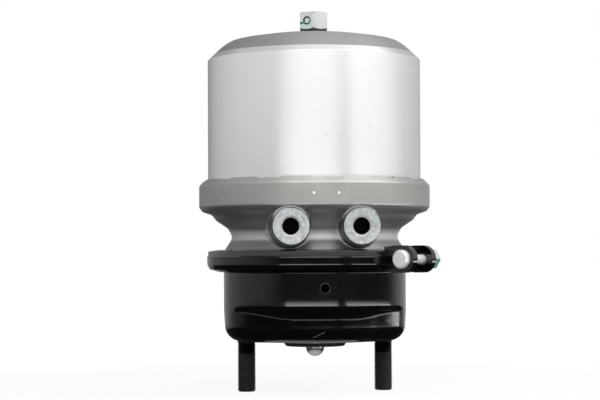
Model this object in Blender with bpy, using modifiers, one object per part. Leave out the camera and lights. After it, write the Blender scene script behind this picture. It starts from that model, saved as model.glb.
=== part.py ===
"""Double brake chamber: a spring chamber over a service chamber, on one axis.

Metres, +Z up. The origin is on the axis, in the mounting face that the two studs
stand out of. The studs lie along X and both air ports face -Y. The spring is shown
wound back, with the push rod in.
"""
import math

import bmesh
import bpy
from mathutils import Matrix, Vector

mm = 0.001

# clearances
FIT = 0.3 * mm          # between pieces that touch
RUN = 0.4 * mm          # round a piece that slides
TURN = 0.7 * mm         # round the screw, which turns
STROKE = 60 * mm        # travel of the push rod and of the spring piston
OVERRUN = 3 * mm        # how far a cutter runs past the face that it cuts

# service housing, a pressed cup
STUD_TO_WALL = 19.675 * mm      # from each stud's axis out to the cup's wall
CUP_WALL = 4 * mm
CUP_DEPTH = 67.6 * mm
CUP_CORNER = 12 * mm
BASE_INSET = 8 * mm             # base wall stands in by this at the front and back
BASE_INSET_SIDE = 15 * mm       # and by this beside the stud lobes
BASE_CREASE = 19 * mm           # height of the crease between base and sloping wall
BASE_SHOULDER = 6 * mm          # least height of the sloping wall above the crease
BASE_SLOPE = 0.94               # its further height over its inset
BASE_RECESS = 0.5 * mm          # clears the boot's lip round the rod hole
LOBE_INNER_ANGLE = 60           # degrees from Y where the stud lobe starts
LOBE_OUTER_ANGLE = 75
DRAIN_DIAMETER = 8 * mm
DRAIN_HEIGHT = 47 * mm
ROD_HOLE_RADIUS = 22 * mm

# studs
STUD_SPACING = 120.65 * mm
STUD_DIAMETER = 16 * mm
STUD_LENGTH = 44 * mm
STUD_CHAMFER = 1.5 * mm
STUD_HEAD_RADIUS = 10 * mm
STUD_HEAD_HEIGHT = 5 * mm
STUD_HEAD_CONE = 1.8 * mm

# flanges and the V clamp that holds them
FLANGE_REACH = 10.5 * mm
FLANGE_EDGE = 2 * mm
FLANGE_TAPER = 0.32
CLAMP_WALL = 3.4 * mm
CLAMP_LIP = 2.3 * mm
CLAMP_OVERLAP = 8.4 * mm
EAR_ANGLE = 44                  # degrees from -Y towards +X
EAR_GAP = 18.4 * mm
EAR_THICKNESS = 4.8 * mm
EAR_REACH = 15.3 * mm           # from the clamp's outside to the bolt
EAR_RADIUS = 11.5 * mm
EAR_TAPER = 1 * mm
EAR_HOLE_MARGIN = 0.6 * mm
NOTCH_ANGLE = 101               # from the bolt to each gap in the clamp's lips
NOTCH_WIDTH = 20 * mm
BOLT_DIAMETER = 9.8 * mm
BOLT_HEAD_RADIUS = 8 * mm
BOLT_HEAD_HEIGHT = 4 * mm
BOLT_TAIL = 13 * mm
NUT_WIDTH = 16 * mm
NUT_HEIGHT = 10 * mm

# diaphragm
DIAPHRAGM_RIM = 4.2 * mm
DIAPHRAGM_WALL = 3.2 * mm
DIAPHRAGM_RISE = 19 * mm        # crown above the rim's upper face
DIAPHRAGM_GAP = 1.4 * mm        # to the casting's bore
DIAPHRAGM_SHOULDER = 9 * mm     # from the flat crown out to the wall
DIAPHRAGM_EDGE = 0.5 * mm       # rim inside the flanges' edge

# flange housing, a casting; heights are above its lower face
NECK_WALL = 5.6 * mm
NECK_INSET = 12.8 * mm          # from the cup's wall in to the lower bore
NECK_HEIGHT = 19 * mm
WEB_UNDERSIDE = 27 * mm
WEB_THICKNESS = 6.6 * mm
HUB_UNDERSIDE = 20.8 * mm
HUB_HEIGHT = 13.6 * mm
HUB_WALL = 7.6 * mm
SOCKET_FLOOR = 49 * mm
SOCKET_WALL = 7.5 * mm
RIM_UNDERSIDE = 38 * mm
RIM_LOWER_EDGE = 45 * mm
RIM_UPPER_EDGE = 63.2 * mm
COLLAR_HEIGHT = 68.4 * mm
COLLAR_LAND = 1.1 * mm
RIM_FILLET = 4.6 * mm
FLANGE_FILLET = 1.6 * mm

# bayonet joint between the two upper housings
LUG_COUNT = 12
LUG_WIDTH = 20 * mm
LUG_REACH = 2.4 * mm
LUG_HEIGHT = 6 * mm
LUG_BOTTOM = 55.6 * mm
GATE_WIDTH = 24 * mm
GROOVE_MARGIN = 1.3 * mm

# air ports
PORT_SPACING = 59.5 * mm
PORT_HEIGHT = 26.6 * mm
PORT_RECESS = 8.4 * mm          # bush faces behind the rim's outside
PORT_BORE = 14.4 * mm
PORT_SINK = 17.8 * mm
BUSH_DIAMETER = 30.4 * mm
BUSH_COLLAR = 6 * mm
BUSH_BODY_DIAMETER = 23 * mm
BUSH_BODY_LENGTH = 13 * mm
BOSS_WALL = 3 * mm
BOSS_DRAFT = 2 * mm
SPOT_MARGIN = 2 * mm            # machined seat round each bush
SPOT_ALLOWANCE = 1 * mm         # cast on the boss and machined off its seat
PASSAGE_DIAMETER = 7 * mm

# spring housing
CHAMBER_RADIUS = 93.5 * mm
CHAMBER_WALL = 4.5 * mm
CHAMBER_HEIGHT = 148 * mm
CHAMFER_DROP = 23.9 * mm        # below the crown, where the machined chamfer starts
CHAMFER_WIDTH = 12 * mm
CROWN_THICKNESS = 4.9 * mm
CROWN_DROP = 6.8 * mm           # of the crown's curve, before its rounded edge
CROWN_EDGE = 10 * mm            # width of that edge
HOUSING_SEAL_HEIGHT = 4 * mm
HOUSING_SEAL_DEPTH = 2 * mm
SCREW_SEAL_HEIGHT = 5 * mm
SCREW_SEAL_DEPTH = 4 * mm
SEAT_DROP = 11.6 * mm
SEAT_OUTER = 73 * mm
SEAT_INNER = 55 * mm
SCREW_BOSS_RADIUS = 18.5 * mm
SCREW_BOSS_DEPTH = 18.5 * mm

# power spring, piston and push tube
POWER_WIRE = 12 * mm
POWER_COIL_RADIUS = 63 * mm
POWER_TURNS = 4
SEAT_PLATE = 2.6 * mm
PISTON_PLATE = 5 * mm
PISTON_SKIRT = 23.5 * mm
PISTON_RIM = 6 * mm
PISTON_HUB_RADIUS = 22.5 * mm
PISTON_HUB_DEPTH = 10.3 * mm
PISTON_HUB_RISE = 3 * mm
RING_DEPTH = 2.6 * mm
SEAL_WIDTH = 4.5 * mm
GUIDE_WIDTH = 6 * mm
TUBE_RADIUS = 19 * mm
TUBE_WALL = 3.5 * mm
TUBE_FLANGE = 3 * mm
TUBE_FLANGE_THICKNESS = 3.6 * mm
TUBE_CAP = 3.4 * mm
TUBE_CAP_SPIGOT = 5 * mm
BUSH_WALL = 2 * mm
GUIDE_BUSH_LENGTH = 5.1 * mm
HUB_LIP = 1.2 * mm
RETAINER_THICKNESS = 1.2 * mm
RETAINER_BITE = 1.2 * mm
RETAINER_DROP = 0.8 * mm        # groove below the hub's face

# release screw
SCREW_DIAMETER = 20 * mm
SCREW_NECK = 19 * mm
SCREW_TAIL = 6 * mm
HEX_WIDTH = 24 * mm
HEX_HEIGHT = 15.3 * mm
HEX_TURN = -6                   # degrees, a corner to the front left
PIN_DIAMETER = 6 * mm
WASHER_RADIUS = 11.7 * mm
WASHER_MARGIN = 6.3 * mm        # flat land round the washer
WASHER_THICKNESS = 3 * mm
RELEASE_NUT_WIDTH = 28 * mm
RELEASE_NUT_HEIGHT = 12 * mm

# push rod, its plate, boot and return spring
ROD_DIAMETER = 16 * mm
ROD_REACH = 13.8 * mm
PLATE_MARGIN = 1.8 * mm         # inside the diaphragm's flat crown
PLATE_THICKNESS = 3.6 * mm
PLATE_HUB_RADIUS = 13.5 * mm
PLATE_HUB_DEPTH = 8 * mm
BOOT_LIP_RADIUS = 27 * mm
BOOT_LIP = 4.3 * mm
BOOT_LAND = 1 * mm              # clear land round the lip
BOOT_WALL = 1.6 * mm
BOOT_FOLD = 4.5 * mm
BOOT_FOLDS = 4
SEAT_RING_GAP = 4.325 * mm      # to the stud heads
SEAT_RING_SHEET = 2 * mm
RETURN_WIRE = 4.4 * mm
RETURN_INSET = 6 * mm           # spring's lowest coil inside its seat's edge
RETURN_TOP_RADIUS = 25 * mm
RETURN_TURNS = 4

# facets round a turn
FACET_COUNT_LARGE = 32
FACET_COUNT_CUP = 48
FACET_COUNT_DIAPHRAGM = 24
FACET_COUNT_MEDIUM = 20
FACET_COUNT_SMALL = 14

# heights that follow from the sizes above
rim_bottom = CUP_DEPTH + FIT
rim_top = rim_bottom + DIAPHRAGM_RIM
clamp_height = rim_bottom + DIAPHRAGM_RIM / 2
casting_base = rim_top + FIT
crown_top = rim_top + DIAPHRAGM_RISE
crown_bottom = crown_top - DIAPHRAGM_WALL
plate_top = crown_bottom - FIT
cup_radius = STUD_SPACING / 2 + STUD_TO_WALL
flange_radius = cup_radius + FLANGE_REACH
lower_bore = cup_radius - NECK_INSET
web_top = casting_base + WEB_UNDERSIDE + WEB_THICKNESS
hub_bottom = casting_base + HUB_UNDERSIDE
hub_top = hub_bottom + HUB_HEIGHT
port_height = casting_base + PORT_HEIGHT
socket_floor = casting_base + SOCKET_FLOOR
chamber_base = socket_floor + FIT
chamber_top = chamber_base + CHAMBER_HEIGHT
chamber_bore = CHAMBER_RADIUS - CHAMBER_WALL
socket_radius = CHAMBER_RADIUS + RUN
rim_outer = socket_radius + SOCKET_WALL
port_face = rim_outer - PORT_RECESS
seat_height = chamber_top - SEAT_DROP
piston_base = socket_floor + FIT + STROKE + RUN
piston_floor = piston_base + PISTON_PLATE
piston_hub_base = piston_base - PISTON_HUB_DEPTH
nut_base = piston_hub_base + FIT
tube_top = piston_hub_base - FIT
cap_bottom = crown_top + FIT
tube_bottom = cap_bottom + TUBE_CAP + FIT
hex_base = chamber_top + FIT + WASHER_THICKNESS + FIT
hub_bore = TUBE_RADIUS + RUN + BUSH_WALL + FIT


def clear_scene():
    for old in list(bpy.data.objects):
        bpy.data.objects.remove(old, do_unlink=True)
    for old in list(bpy.data.meshes):
        bpy.data.meshes.remove(old)


def new_collection(name):
    group = bpy.data.collections.new(name)
    bpy.context.scene.collection.children.link(group)
    return group


def new_material(name, colour, roughness, metallic):
    made = bpy.data.materials.new(name)
    made.use_nodes = True
    shader = made.node_tree.nodes["Principled BSDF"]
    shader.inputs["Base Color"].default_value = (*colour, 1)
    shader.inputs["Roughness"].default_value = roughness
    shader.inputs["Metallic"].default_value = metallic
    return made


def add_part(name, mesh, look):
    """Link a mesh as one named piece with its material."""
    piece = bpy.data.objects.new(name, mesh)
    mesh.materials.append(look)
    parts.objects.link(piece)
    return piece


def add_tool(name, mesh):
    """Link a mesh as a cutter or as a shape to be joined on."""
    tool = bpy.data.objects.new(name, mesh)
    tools.objects.link(tool)
    tool.display_type = "WIRE"
    tool.hide_render = True
    return tool


def profile_mesh(name, points, closed):
    """Edges in the XZ plane; the outer side runs from top to bottom."""
    count = len(points)
    edges = [(i, i + 1) for i in range(count - 1)]
    if closed:
        edges.append((count - 1, 0))
    mesh = bpy.data.meshes.new(name)
    mesh.from_pydata([(r, 0, z) for r, z in points], edges, [])
    return mesh


def spin(piece, steps):
    turn = piece.modifiers.new("Turn", "SCREW")
    turn.axis = "Z"
    turn.angle = 2 * math.pi
    turn.steps = steps
    turn.render_steps = steps
    turn.use_merge_vertices = True
    turn.merge_threshold = 0.00001
    turn.use_smooth_shade = True


def turned(name, points, look, steps, closed=True):
    """A turned piece. A closed profile makes a ring, an open one ends on the axis."""
    piece = add_part(name, profile_mesh(name, points, closed), look)
    spin(piece, steps)
    return piece


def turned_tool(name, points, steps, closed=True):
    tool = add_tool(name, profile_mesh(name, points, closed))
    spin(tool, steps)
    return tool


def ring(inner, outer, bottom, top):
    """Profile of a plain ring."""
    return [(outer, top), (outer, bottom), (inner, bottom), (inner, top)]


def boolean(piece, tool, operation="DIFFERENCE"):
    cut = piece.modifiers.new(operation.title(), "BOOLEAN")
    cut.operation = operation
    cut.solver = "EXACT"
    cut.object = tool
    return cut


def cylinder_mesh(name, radius, length, segments, end_radius=None):
    """A closed cylinder or cone about Z, from z = 0 up to its length."""
    shape = bmesh.new()
    bmesh.ops.create_cone(
        shape,
        cap_ends=True,
        segments=segments,
        radius1=radius,
        radius2=radius if end_radius is None else end_radius,
        depth=length,
        matrix=Matrix.Translation((0, 0, length / 2)),
    )
    mesh = bpy.data.meshes.new(name)
    shape.to_mesh(mesh)
    shape.free()
    return mesh


def boxes_mesh(name, size, places):
    """One mesh of equal boxes, each at one of the given matrices."""
    shape = bmesh.new()
    for place in places:
        bmesh.ops.create_cube(shape, size=1, matrix=place @ Matrix.Diagonal((*size, 1)))
    mesh = bpy.data.meshes.new(name)
    shape.to_mesh(mesh)
    shape.free()
    return mesh


def point_along(piece, start, direction):
    """Lay the piece's Z axis along a direction, from a start point."""
    piece.location = start
    piece.rotation_mode = "QUATERNION"
    piece.rotation_quaternion = Vector(direction).to_track_quat("Z", "Y")


def around(angle, radius, height):
    """Matrix of a place round the axis, angle in degrees from -Y towards +X, with X
    pointing outwards."""
    turn = Matrix.Rotation(math.radians(angle - 90), 4, "Z")
    return turn @ Matrix.Translation((radius, 0, height))


def arc(centre, radius, start, end, count):
    """Points on an arc in the profile's plane, angles in degrees."""
    found = []
    for i in range(count):
        angle = math.radians(start + (end - start) * i / (count - 1))
        found.append((centre[0] + radius * math.cos(angle), centre[1] + radius * math.sin(angle)))
    return found


def coil(name, look, wire, bottom_radius, top_radius, bottom, top, turns, points, sides):
    """A spring of round wire between two heights, as a swept curve."""
    path = bpy.data.curves.new(name, "CURVE")
    path.dimensions = "3D"
    path.bevel_depth = wire / 2
    path.bevel_resolution = sides
    path.use_fill_caps = True
    line = path.splines.new("POLY")
    count = turns * points + 1
    line.points.add(count - 1)
    for i in range(count):
        share = i / (count - 1)
        angle = 2 * math.pi * turns * share
        radius = bottom_radius + (top_radius - bottom_radius) * share
        height = bottom + (top - bottom) * share
        line.points[i].co = (radius * math.cos(angle), radius * math.sin(angle), height, 1)
    curve = bpy.data.objects.new(name + "_path", path)
    tools.objects.link(curve)
    bpy.context.view_layer.update()
    evaluated = curve.evaluated_get(bpy.context.evaluated_depsgraph_get())
    mesh = bpy.data.meshes.new_from_object(evaluated)
    shape = bmesh.new()
    shape.from_mesh(mesh)
    bmesh.ops.remove_doubles(shape, verts=shape.verts, dist=0.00001)
    shape.to_mesh(mesh)
    shape.free()
    bpy.data.objects.remove(curve)
    mesh.materials.clear()
    return add_part(name, mesh, look)


def base_inset(angle):
    """How far the cup's base wall stands in, at an angle in radians from +X. It grows
    from the front to the stud lobes, where the wall steps out again."""
    side = abs(math.degrees(math.asin(math.cos(angle))))
    grown = BASE_INSET + (BASE_INSET_SIDE - BASE_INSET) * min(side / LOBE_INNER_ANGLE, 1) ** 2
    step = (side - LOBE_INNER_ANGLE) / (LOBE_OUTER_ANGLE - LOBE_INNER_ANGLE)
    step = min(max(step, 0), 1)
    return grown * (1 - step * step * (3 - 2 * step))


def cup_section(inset):
    """The cup's wall at one angle: outside from the flange down, then up the inside."""
    inner = cup_radius - CUP_WALL
    root = CUP_DEPTH - FLANGE_EDGE - FLANGE_TAPER * FLANGE_REACH
    shoulder = BASE_CREASE + BASE_SHOULDER + inset * BASE_SLOPE
    centre = (cup_radius - CUP_CORNER - inset, CUP_CORNER)
    points = [
        (flange_radius, CUP_DEPTH),
        (flange_radius, CUP_DEPTH - FLANGE_EDGE),
        (cup_radius + CLAMP_LIP / 2, root),
        (cup_radius, root - CLAMP_LIP),
        (cup_radius, shoulder),
        (cup_radius - inset, BASE_CREASE),
    ]
    points += arc(centre, CUP_CORNER, 0, -90, 4)
    points += [
        (BOOT_LIP_RADIUS + BOOT_LAND, 0),
        (BOOT_LIP_RADIUS + BOOT_LAND, BASE_RECESS),
        (ROD_HOLE_RADIUS, BASE_RECESS),
        (ROD_HOLE_RADIUS, CUP_WALL),
    ]
    points += arc(centre, CUP_CORNER - CUP_WALL, -90, 0, 3)
    points += [
        (inner - inset, BASE_CREASE + CUP_WALL / 2),
        (inner, shoulder + CUP_WALL / 2),
        (inner, CUP_DEPTH - CUP_WALL),
        (inner + CUP_WALL / 2, CUP_DEPTH),
    ]
    return points


def loft_cup(name):
    """The cup changes from round at its wall to scalloped at its base, so its sections
    are lofted round the axis."""
    shape = bmesh.new()
    columns = []
    for i in range(FACET_COUNT_CUP):
        angle = 2 * math.pi * i / FACET_COUNT_CUP
        column = []
        for r, z in cup_section(base_inset(angle)):
            column.append(shape.verts.new((r * math.cos(angle), r * math.sin(angle), z)))
        columns.append(column)
    rows = len(columns[0])
    for i in range(FACET_COUNT_CUP):
        here = columns[i]
        there = columns[(i + 1) % FACET_COUNT_CUP]
        for k in range(rows):
            after = (k + 1) % rows
            shape.faces.new((here[k], here[after], there[after], there[k]))
    bmesh.ops.triangulate(shape, faces=shape.faces)
    bmesh.ops.recalc_face_normals(shape, faces=shape.faces)
    mesh = bpy.data.meshes.new(name)
    shape.to_mesh(mesh)
    shape.free()
    return mesh


clear_scene()
parts = new_collection("brake_chamber")
tools = new_collection("cutters")

bright = new_material("machined_aluminium", (0.62, 0.63, 0.64), 0.32, 1)
cast = new_material("cast_aluminium", (0.36, 0.35, 0.33), 0.6, 0.7)
black = new_material("black_paint", (0.006, 0.006, 0.006), 0.25, 0)
zinc = new_material("zinc_plate", (0.5, 0.53, 0.55), 0.35, 1)
phosphate = new_material("phosphate_steel", (0.045, 0.04, 0.035), 0.5, 0.6)
steel = new_material("plain_steel", (0.45, 0.45, 0.46), 0.35, 1)
spring_steel = new_material("spring_steel", (0.03, 0.03, 0.035), 0.45, 0.5)
rubber = new_material("rubber", (0.012, 0.012, 0.012), 0.75, 0)
plastic = new_material("bearing_plastic", (0.7, 0.66, 0.55), 0.5, 0)

# service housing, with a drain hole at the front and one at the back
service_housing = add_part("service_housing", loft_cup("service_housing"), black)
drain = add_tool("drain_cutter", cylinder_mesh("drain", DRAIN_DIAMETER / 2, 4 * cup_radius, 12))
point_along(drain, (0, 2 * cup_radius, DRAIN_HEIGHT), (0, -1, 0))
boolean(service_housing, drain)
for side in (-1, 1):
    hole = add_tool(
        "stud_hole",
        cylinder_mesh("stud_hole", STUD_DIAMETER / 2 + FIT, 3 * CUP_WALL, FACET_COUNT_SMALL),
    )
    hole.location = (side * STUD_SPACING / 2, 0, -CUP_WALL)
    boolean(service_housing, hole)

# studs, headed inside the cup
stud_top = CUP_WALL + FIT + STUD_HEAD_HEIGHT
stud_profile = [
    (0, stud_top),
    (STUD_HEAD_RADIUS, stud_top),
    (STUD_HEAD_RADIUS, CUP_WALL + FIT + STUD_HEAD_CONE),
    (STUD_DIAMETER / 2, CUP_WALL + FIT),
    (STUD_DIAMETER / 2, STUD_CHAMFER - STUD_LENGTH),
    (STUD_DIAMETER / 2 - STUD_CHAMFER, -STUD_LENGTH),
    (0, -STUD_LENGTH),
]
for name, side in (("stud_left", -1), ("stud_right", 1)):
    stud = turned(name, stud_profile, phosphate, FACET_COUNT_SMALL, closed=False)
    stud.location.x = side * STUD_SPACING / 2

# diaphragm, held by its rim between the flanges and domed up in the casting
wall_radius = lower_bore - DIAPHRAGM_GAP
crown_radius = wall_radius - DIAPHRAGM_SHOULDER
plate_radius = crown_radius - PLATE_MARGIN
rim_radius = flange_radius - DIAPHRAGM_EDGE
diaphragm_profile = [
    (0, crown_top),
    (crown_radius, crown_top),
    (wall_radius - 2.5 * mm, crown_top - 4 * mm),
    (wall_radius, crown_top - 10 * mm),
    (wall_radius + 2 * mm, rim_top + 3 * mm),
    (wall_radius + 7 * mm, rim_top),
    (rim_radius, rim_top),
    (rim_radius, rim_bottom),
    (wall_radius + 5 * mm, rim_bottom),
    (wall_radius - 1.3 * mm, rim_top + 1 * mm),
    (wall_radius - DIAPHRAGM_WALL, crown_top - 10.5 * mm),
    (crown_radius - 1 * mm, crown_bottom),
    (0, crown_bottom),
]
turned("diaphragm", diaphragm_profile, rubber, FACET_COUNT_DIAPHRAGM, closed=False)

# flange housing
neck_radius = lower_bore + NECK_WALL
hub_outer = hub_bore + HUB_WALL
groove_radius = CHAMBER_RADIUS + LUG_REACH + GROOVE_MARGIN
lug_bottom = casting_base + LUG_BOTTOM
lug_top = lug_bottom + LUG_HEIGHT
flange_root = casting_base + FLANGE_EDGE + FLANGE_TAPER * FLANGE_REACH
retainer_top = hub_top - RETAINER_DROP
collar_top = casting_base + COLLAR_HEIGHT
web_underside = casting_base + WEB_UNDERSIDE
casting_profile = [
    (0, collar_top),
    (socket_radius + COLLAR_LAND, collar_top),
    (rim_outer, casting_base + RIM_UPPER_EDGE),
    (rim_outer, casting_base + RIM_LOWER_EDGE),
    (rim_outer - 0.6 * RIM_FILLET, casting_base + RIM_LOWER_EDGE - RIM_FILLET),
    (rim_outer - 8 * mm, casting_base + RIM_UNDERSIDE),
    (neck_radius + 9 * mm, web_underside + 2.5 * mm),
    (neck_radius + 2.6 * mm, web_underside - 0.8 * mm),
    (neck_radius, casting_base + NECK_HEIGHT),
    (neck_radius + 1.6 * mm, casting_base + NECK_HEIGHT - 5 * mm),
    (cup_radius - FLANGE_FILLET, flange_root + FLANGE_FILLET),
    (cup_radius - 0.4 * mm, flange_root),
    (flange_radius, casting_base + FLANGE_EDGE),
    (flange_radius, casting_base),
    (0, casting_base),
]
flange_housing = turned("flange_housing", casting_profile, cast, FACET_COUNT_LARGE, closed=False)

# port bosses run from the neck to behind each bush
boss_face = port_face - BUSH_COLLAR - FIT
boss_root = 0.6 * neck_radius
boss_radius = BUSH_DIAMETER / 2 + BOSS_WALL
for side, name in ((-1, "left"), (1, "right")):
    boss = add_tool(
        f"boss_{name}",
        cylinder_mesh(
            "boss",
            boss_radius + BOSS_DRAFT,
            boss_face + SPOT_ALLOWANCE - boss_root,
            FACET_COUNT_MEDIUM,
            boss_radius,
        ),
    )
    point_along(boss, (side * PORT_SPACING / 2, -boss_root, port_height), (0, -1, 0))
    boolean(flange_housing, boss, "UNION")

# the casting is hollow on both sides of its web
lower_void = turned_tool(
    "lower_void",
    [
        (0, hub_bottom),
        (hub_outer, hub_bottom),
        (hub_outer + 4 * mm, web_underside),
        (lower_bore - 6 * mm, web_underside),
        (lower_bore, web_underside - 8 * mm),
        (lower_bore, casting_base + 9 * mm),
        (lower_bore + 1.6 * mm, casting_base + 4.5 * mm),
        (wall_radius + 8.6 * mm, casting_base),
        (wall_radius + 8.6 * mm, casting_base - OVERRUN),
        (0, casting_base - OVERRUN),
    ],
    FACET_COUNT_LARGE,
    closed=False,
)
boolean(flange_housing, lower_void)
upper_void = turned_tool(
    "upper_void",
    [
        (0, collar_top + OVERRUN),
        (socket_radius, collar_top + OVERRUN),
        (socket_radius, lug_top + FIT),
        (groove_radius, lug_top + FIT),
        (groove_radius, lug_bottom - FIT),
        (socket_radius, lug_bottom - FIT),
        (socket_radius, socket_floor),
        (chamber_bore - 1 * mm, socket_floor),
        (neck_radius + 2 * mm, web_top),
        (hub_outer + 1 * mm, web_top),
        (hub_outer, hub_top),
        (0, hub_top),
    ],
    FACET_COUNT_LARGE,
    closed=False,
)
boolean(flange_housing, upper_void)
bore_void = turned_tool(
    "bore_void",
    [
        (0, hub_top + OVERRUN),
        (hub_bore, hub_top + OVERRUN),
        (hub_bore, retainer_top),
        (hub_bore + RETAINER_BITE, retainer_top),
        (hub_bore + RETAINER_BITE, retainer_top - RETAINER_THICKNESS - 2 * FIT),
        (hub_bore, retainer_top - RETAINER_THICKNESS - 2 * FIT),
        (hub_bore, hub_bottom + HUB_LIP),
        (TUBE_RADIUS + 2 * TURN, hub_bottom + HUB_LIP),
        (TUBE_RADIUS + 2 * TURN, hub_bottom - OVERRUN),
        (0, hub_bottom - OVERRUN),
    ],
    FACET_COUNT_MEDIUM,
    closed=False,
)
boolean(flange_housing, bore_void)

# steel bushes in the bosses, each with a passage to its own chamber
seat_depth = boss_face - BUSH_BODY_LENGTH - FIT
spot_length = rim_outer - boss_face + OVERRUN
for side, name in ((-1, "left"), (1, "right")):
    x = side * PORT_SPACING / 2
    seat = add_tool(
        f"bush_seat_{name}",
        cylinder_mesh("bush_seat", BUSH_BODY_DIAMETER / 2 + FIT, port_face - seat_depth, FACET_COUNT_MEDIUM),
    )
    point_along(seat, (x, -seat_depth, port_height), (0, -1, 0))
    boolean(flange_housing, seat)
    spot = add_tool(
        f"spot_face_{name}",
        cylinder_mesh("spot_face", BUSH_DIAMETER / 2 + SPOT_MARGIN, spot_length, FACET_COUNT_MEDIUM),
    )
    point_along(spot, (x, -boss_face, port_height), (0, -1, 0))
    boolean(flange_housing, spot)
    passage = add_tool(
        f"passage_{name}",
        cylinder_mesh("passage", PASSAGE_DIAMETER / 2, seat_depth - 0.7 * lower_bore + 2 * mm, 8),
    )
    level = web_top - 0.5 * mm if side > 0 else web_underside - PASSAGE_DIAMETER
    point_along(passage, (x, -0.7 * lower_bore, level), (0, -1, 0))
    boolean(flange_housing, passage)
    bush = turned(
        f"port_bush_{name}",
        [
            (BUSH_DIAMETER / 2, 0),
            (BUSH_DIAMETER / 2, -BUSH_COLLAR),
            (BUSH_BODY_DIAMETER / 2, -BUSH_COLLAR),
            (BUSH_BODY_DIAMETER / 2, -BUSH_COLLAR - BUSH_BODY_LENGTH),
            (PORT_BORE / 2, -BUSH_COLLAR - BUSH_BODY_LENGTH),
            (PORT_BORE / 2, (PORT_BORE - PORT_SINK) / 2),
            (PORT_SINK / 2, 0),
        ],
        zinc,
        FACET_COUNT_MEDIUM,
    )
    point_along(bush, (x, -port_face, port_height), (0, -1, 0))

# gates in the collar let the spring housing's lugs pass, half a pitch from the tabs
pitch = 360 / LUG_COUNT
gate_top = collar_top + OVERRUN
gate_height = gate_top - lug_top
gate_length = groove_radius - socket_radius + 2 * OVERRUN
gate_places = [
    around(pitch * i, groove_radius - gate_length / 2, gate_top - gate_height / 2)
    for i in range(LUG_COUNT)
]
gates = add_tool("gate_cutter", boxes_mesh("gates", (gate_length, GATE_WIDTH, gate_height), gate_places))
boolean(flange_housing, gates)

# guide bush, seal and retaining ring round the push tube, in the casting's hub
bush_bottom = hub_bottom + HUB_LIP + FIT
retainer_bottom = retainer_top - RETAINER_THICKNESS - FIT
tube_clear = TUBE_RADIUS + RUN
turned(
    "tube_guide_bush",
    ring(tube_clear, hub_bore - FIT, bush_bottom, bush_bottom + GUIDE_BUSH_LENGTH - FIT),
    plastic,
    FACET_COUNT_MEDIUM,
)
turned(
    "tube_seal",
    ring(tube_clear, hub_bore - FIT, bush_bottom + GUIDE_BUSH_LENGTH, retainer_bottom - FIT),
    rubber,
    FACET_COUNT_MEDIUM,
)
turned(
    "seal_retaining_ring",
    ring(
        tube_clear + RUN,
        hub_bore + RETAINER_BITE - FIT,
        retainer_bottom,
        retainer_top - FIT,
    ),
    steel,
    FACET_COUNT_MEDIUM,
)

# spring housing: a deep pot with a machined chamfer under a shallow crown
bayonet_places = [
    around(pitch * (i + 0.5), CHAMBER_RADIUS + LUG_REACH - 3 * mm, (lug_bottom + lug_top) / 2)
    for i in range(LUG_COUNT)
]
chamfer_start = chamber_top - CHAMFER_DROP
washer_land = WASHER_RADIUS + WASHER_MARGIN
crown_edge = CHAMBER_RADIUS - CHAMFER_WIDTH
crown_span = crown_edge - CROWN_EDGE - washer_land
boss_base = chamber_top - SCREW_BOSS_DEPTH
screw_bore = SCREW_NECK / 2 + TURN
pot_profile = [
    (screw_bore, chamber_top),
    (washer_land, chamber_top),
    (washer_land + 0.4 * crown_span, chamber_top - 0.24 * CROWN_DROP),
    (washer_land + 0.73 * crown_span, chamber_top - 0.62 * CROWN_DROP),
    (crown_edge - CROWN_EDGE, chamber_top - CROWN_DROP),
    (crown_edge - CROWN_EDGE / 2, chamber_top - CROWN_DROP - 0.22 * CROWN_EDGE),
    (crown_edge, chamfer_start + CHAMFER_WIDTH - 0.4 * mm),
    (CHAMBER_RADIUS, chamfer_start),
    (CHAMBER_RADIUS, chamber_base + HOUSING_SEAL_HEIGHT),
    (CHAMBER_RADIUS - HOUSING_SEAL_DEPTH, chamber_base + HOUSING_SEAL_HEIGHT),
    (CHAMBER_RADIUS - HOUSING_SEAL_DEPTH, chamber_base),
    (chamber_bore, chamber_base),
    (chamber_bore, chamfer_start - 3 * mm),
    (SEAT_OUTER, seat_height),
    (SEAT_INNER, seat_height),
    (SEAT_INNER - 2 * mm, chamber_top - CROWN_THICKNESS - 4 * mm),
    (SCREW_BOSS_RADIUS + 6 * mm, chamber_top - CROWN_THICKNESS - 1 * mm),
    (SCREW_BOSS_RADIUS, boss_base),
    (screw_bore + SCREW_SEAL_DEPTH, boss_base),
    (screw_bore + SCREW_SEAL_DEPTH, boss_base + SCREW_SEAL_HEIGHT),
    (screw_bore, boss_base + SCREW_SEAL_HEIGHT),
]
spring_housing = turned("spring_housing", pot_profile, bright, FACET_COUNT_LARGE)
lugs = add_tool("lugs", boxes_mesh("lugs", (6 * mm, LUG_WIDTH, LUG_HEIGHT), bayonet_places))
boolean(spring_housing, lugs, "UNION")
turned(
    "housing_seal",
    ring(
        CHAMBER_RADIUS - HOUSING_SEAL_DEPTH + FIT,
        CHAMBER_RADIUS,
        chamber_base + FIT,
        chamber_base + HOUSING_SEAL_HEIGHT - FIT,
    ),
    rubber,
    FACET_COUNT_LARGE,
)
turned(
    "screw_seal",
    ring(
        screw_bore,
        screw_bore + SCREW_SEAL_DEPTH - FIT,
        boss_base + FIT,
        boss_base + SCREW_SEAL_HEIGHT - FIT,
    ),
    rubber,
    FACET_COUNT_MEDIUM,
)

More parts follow.
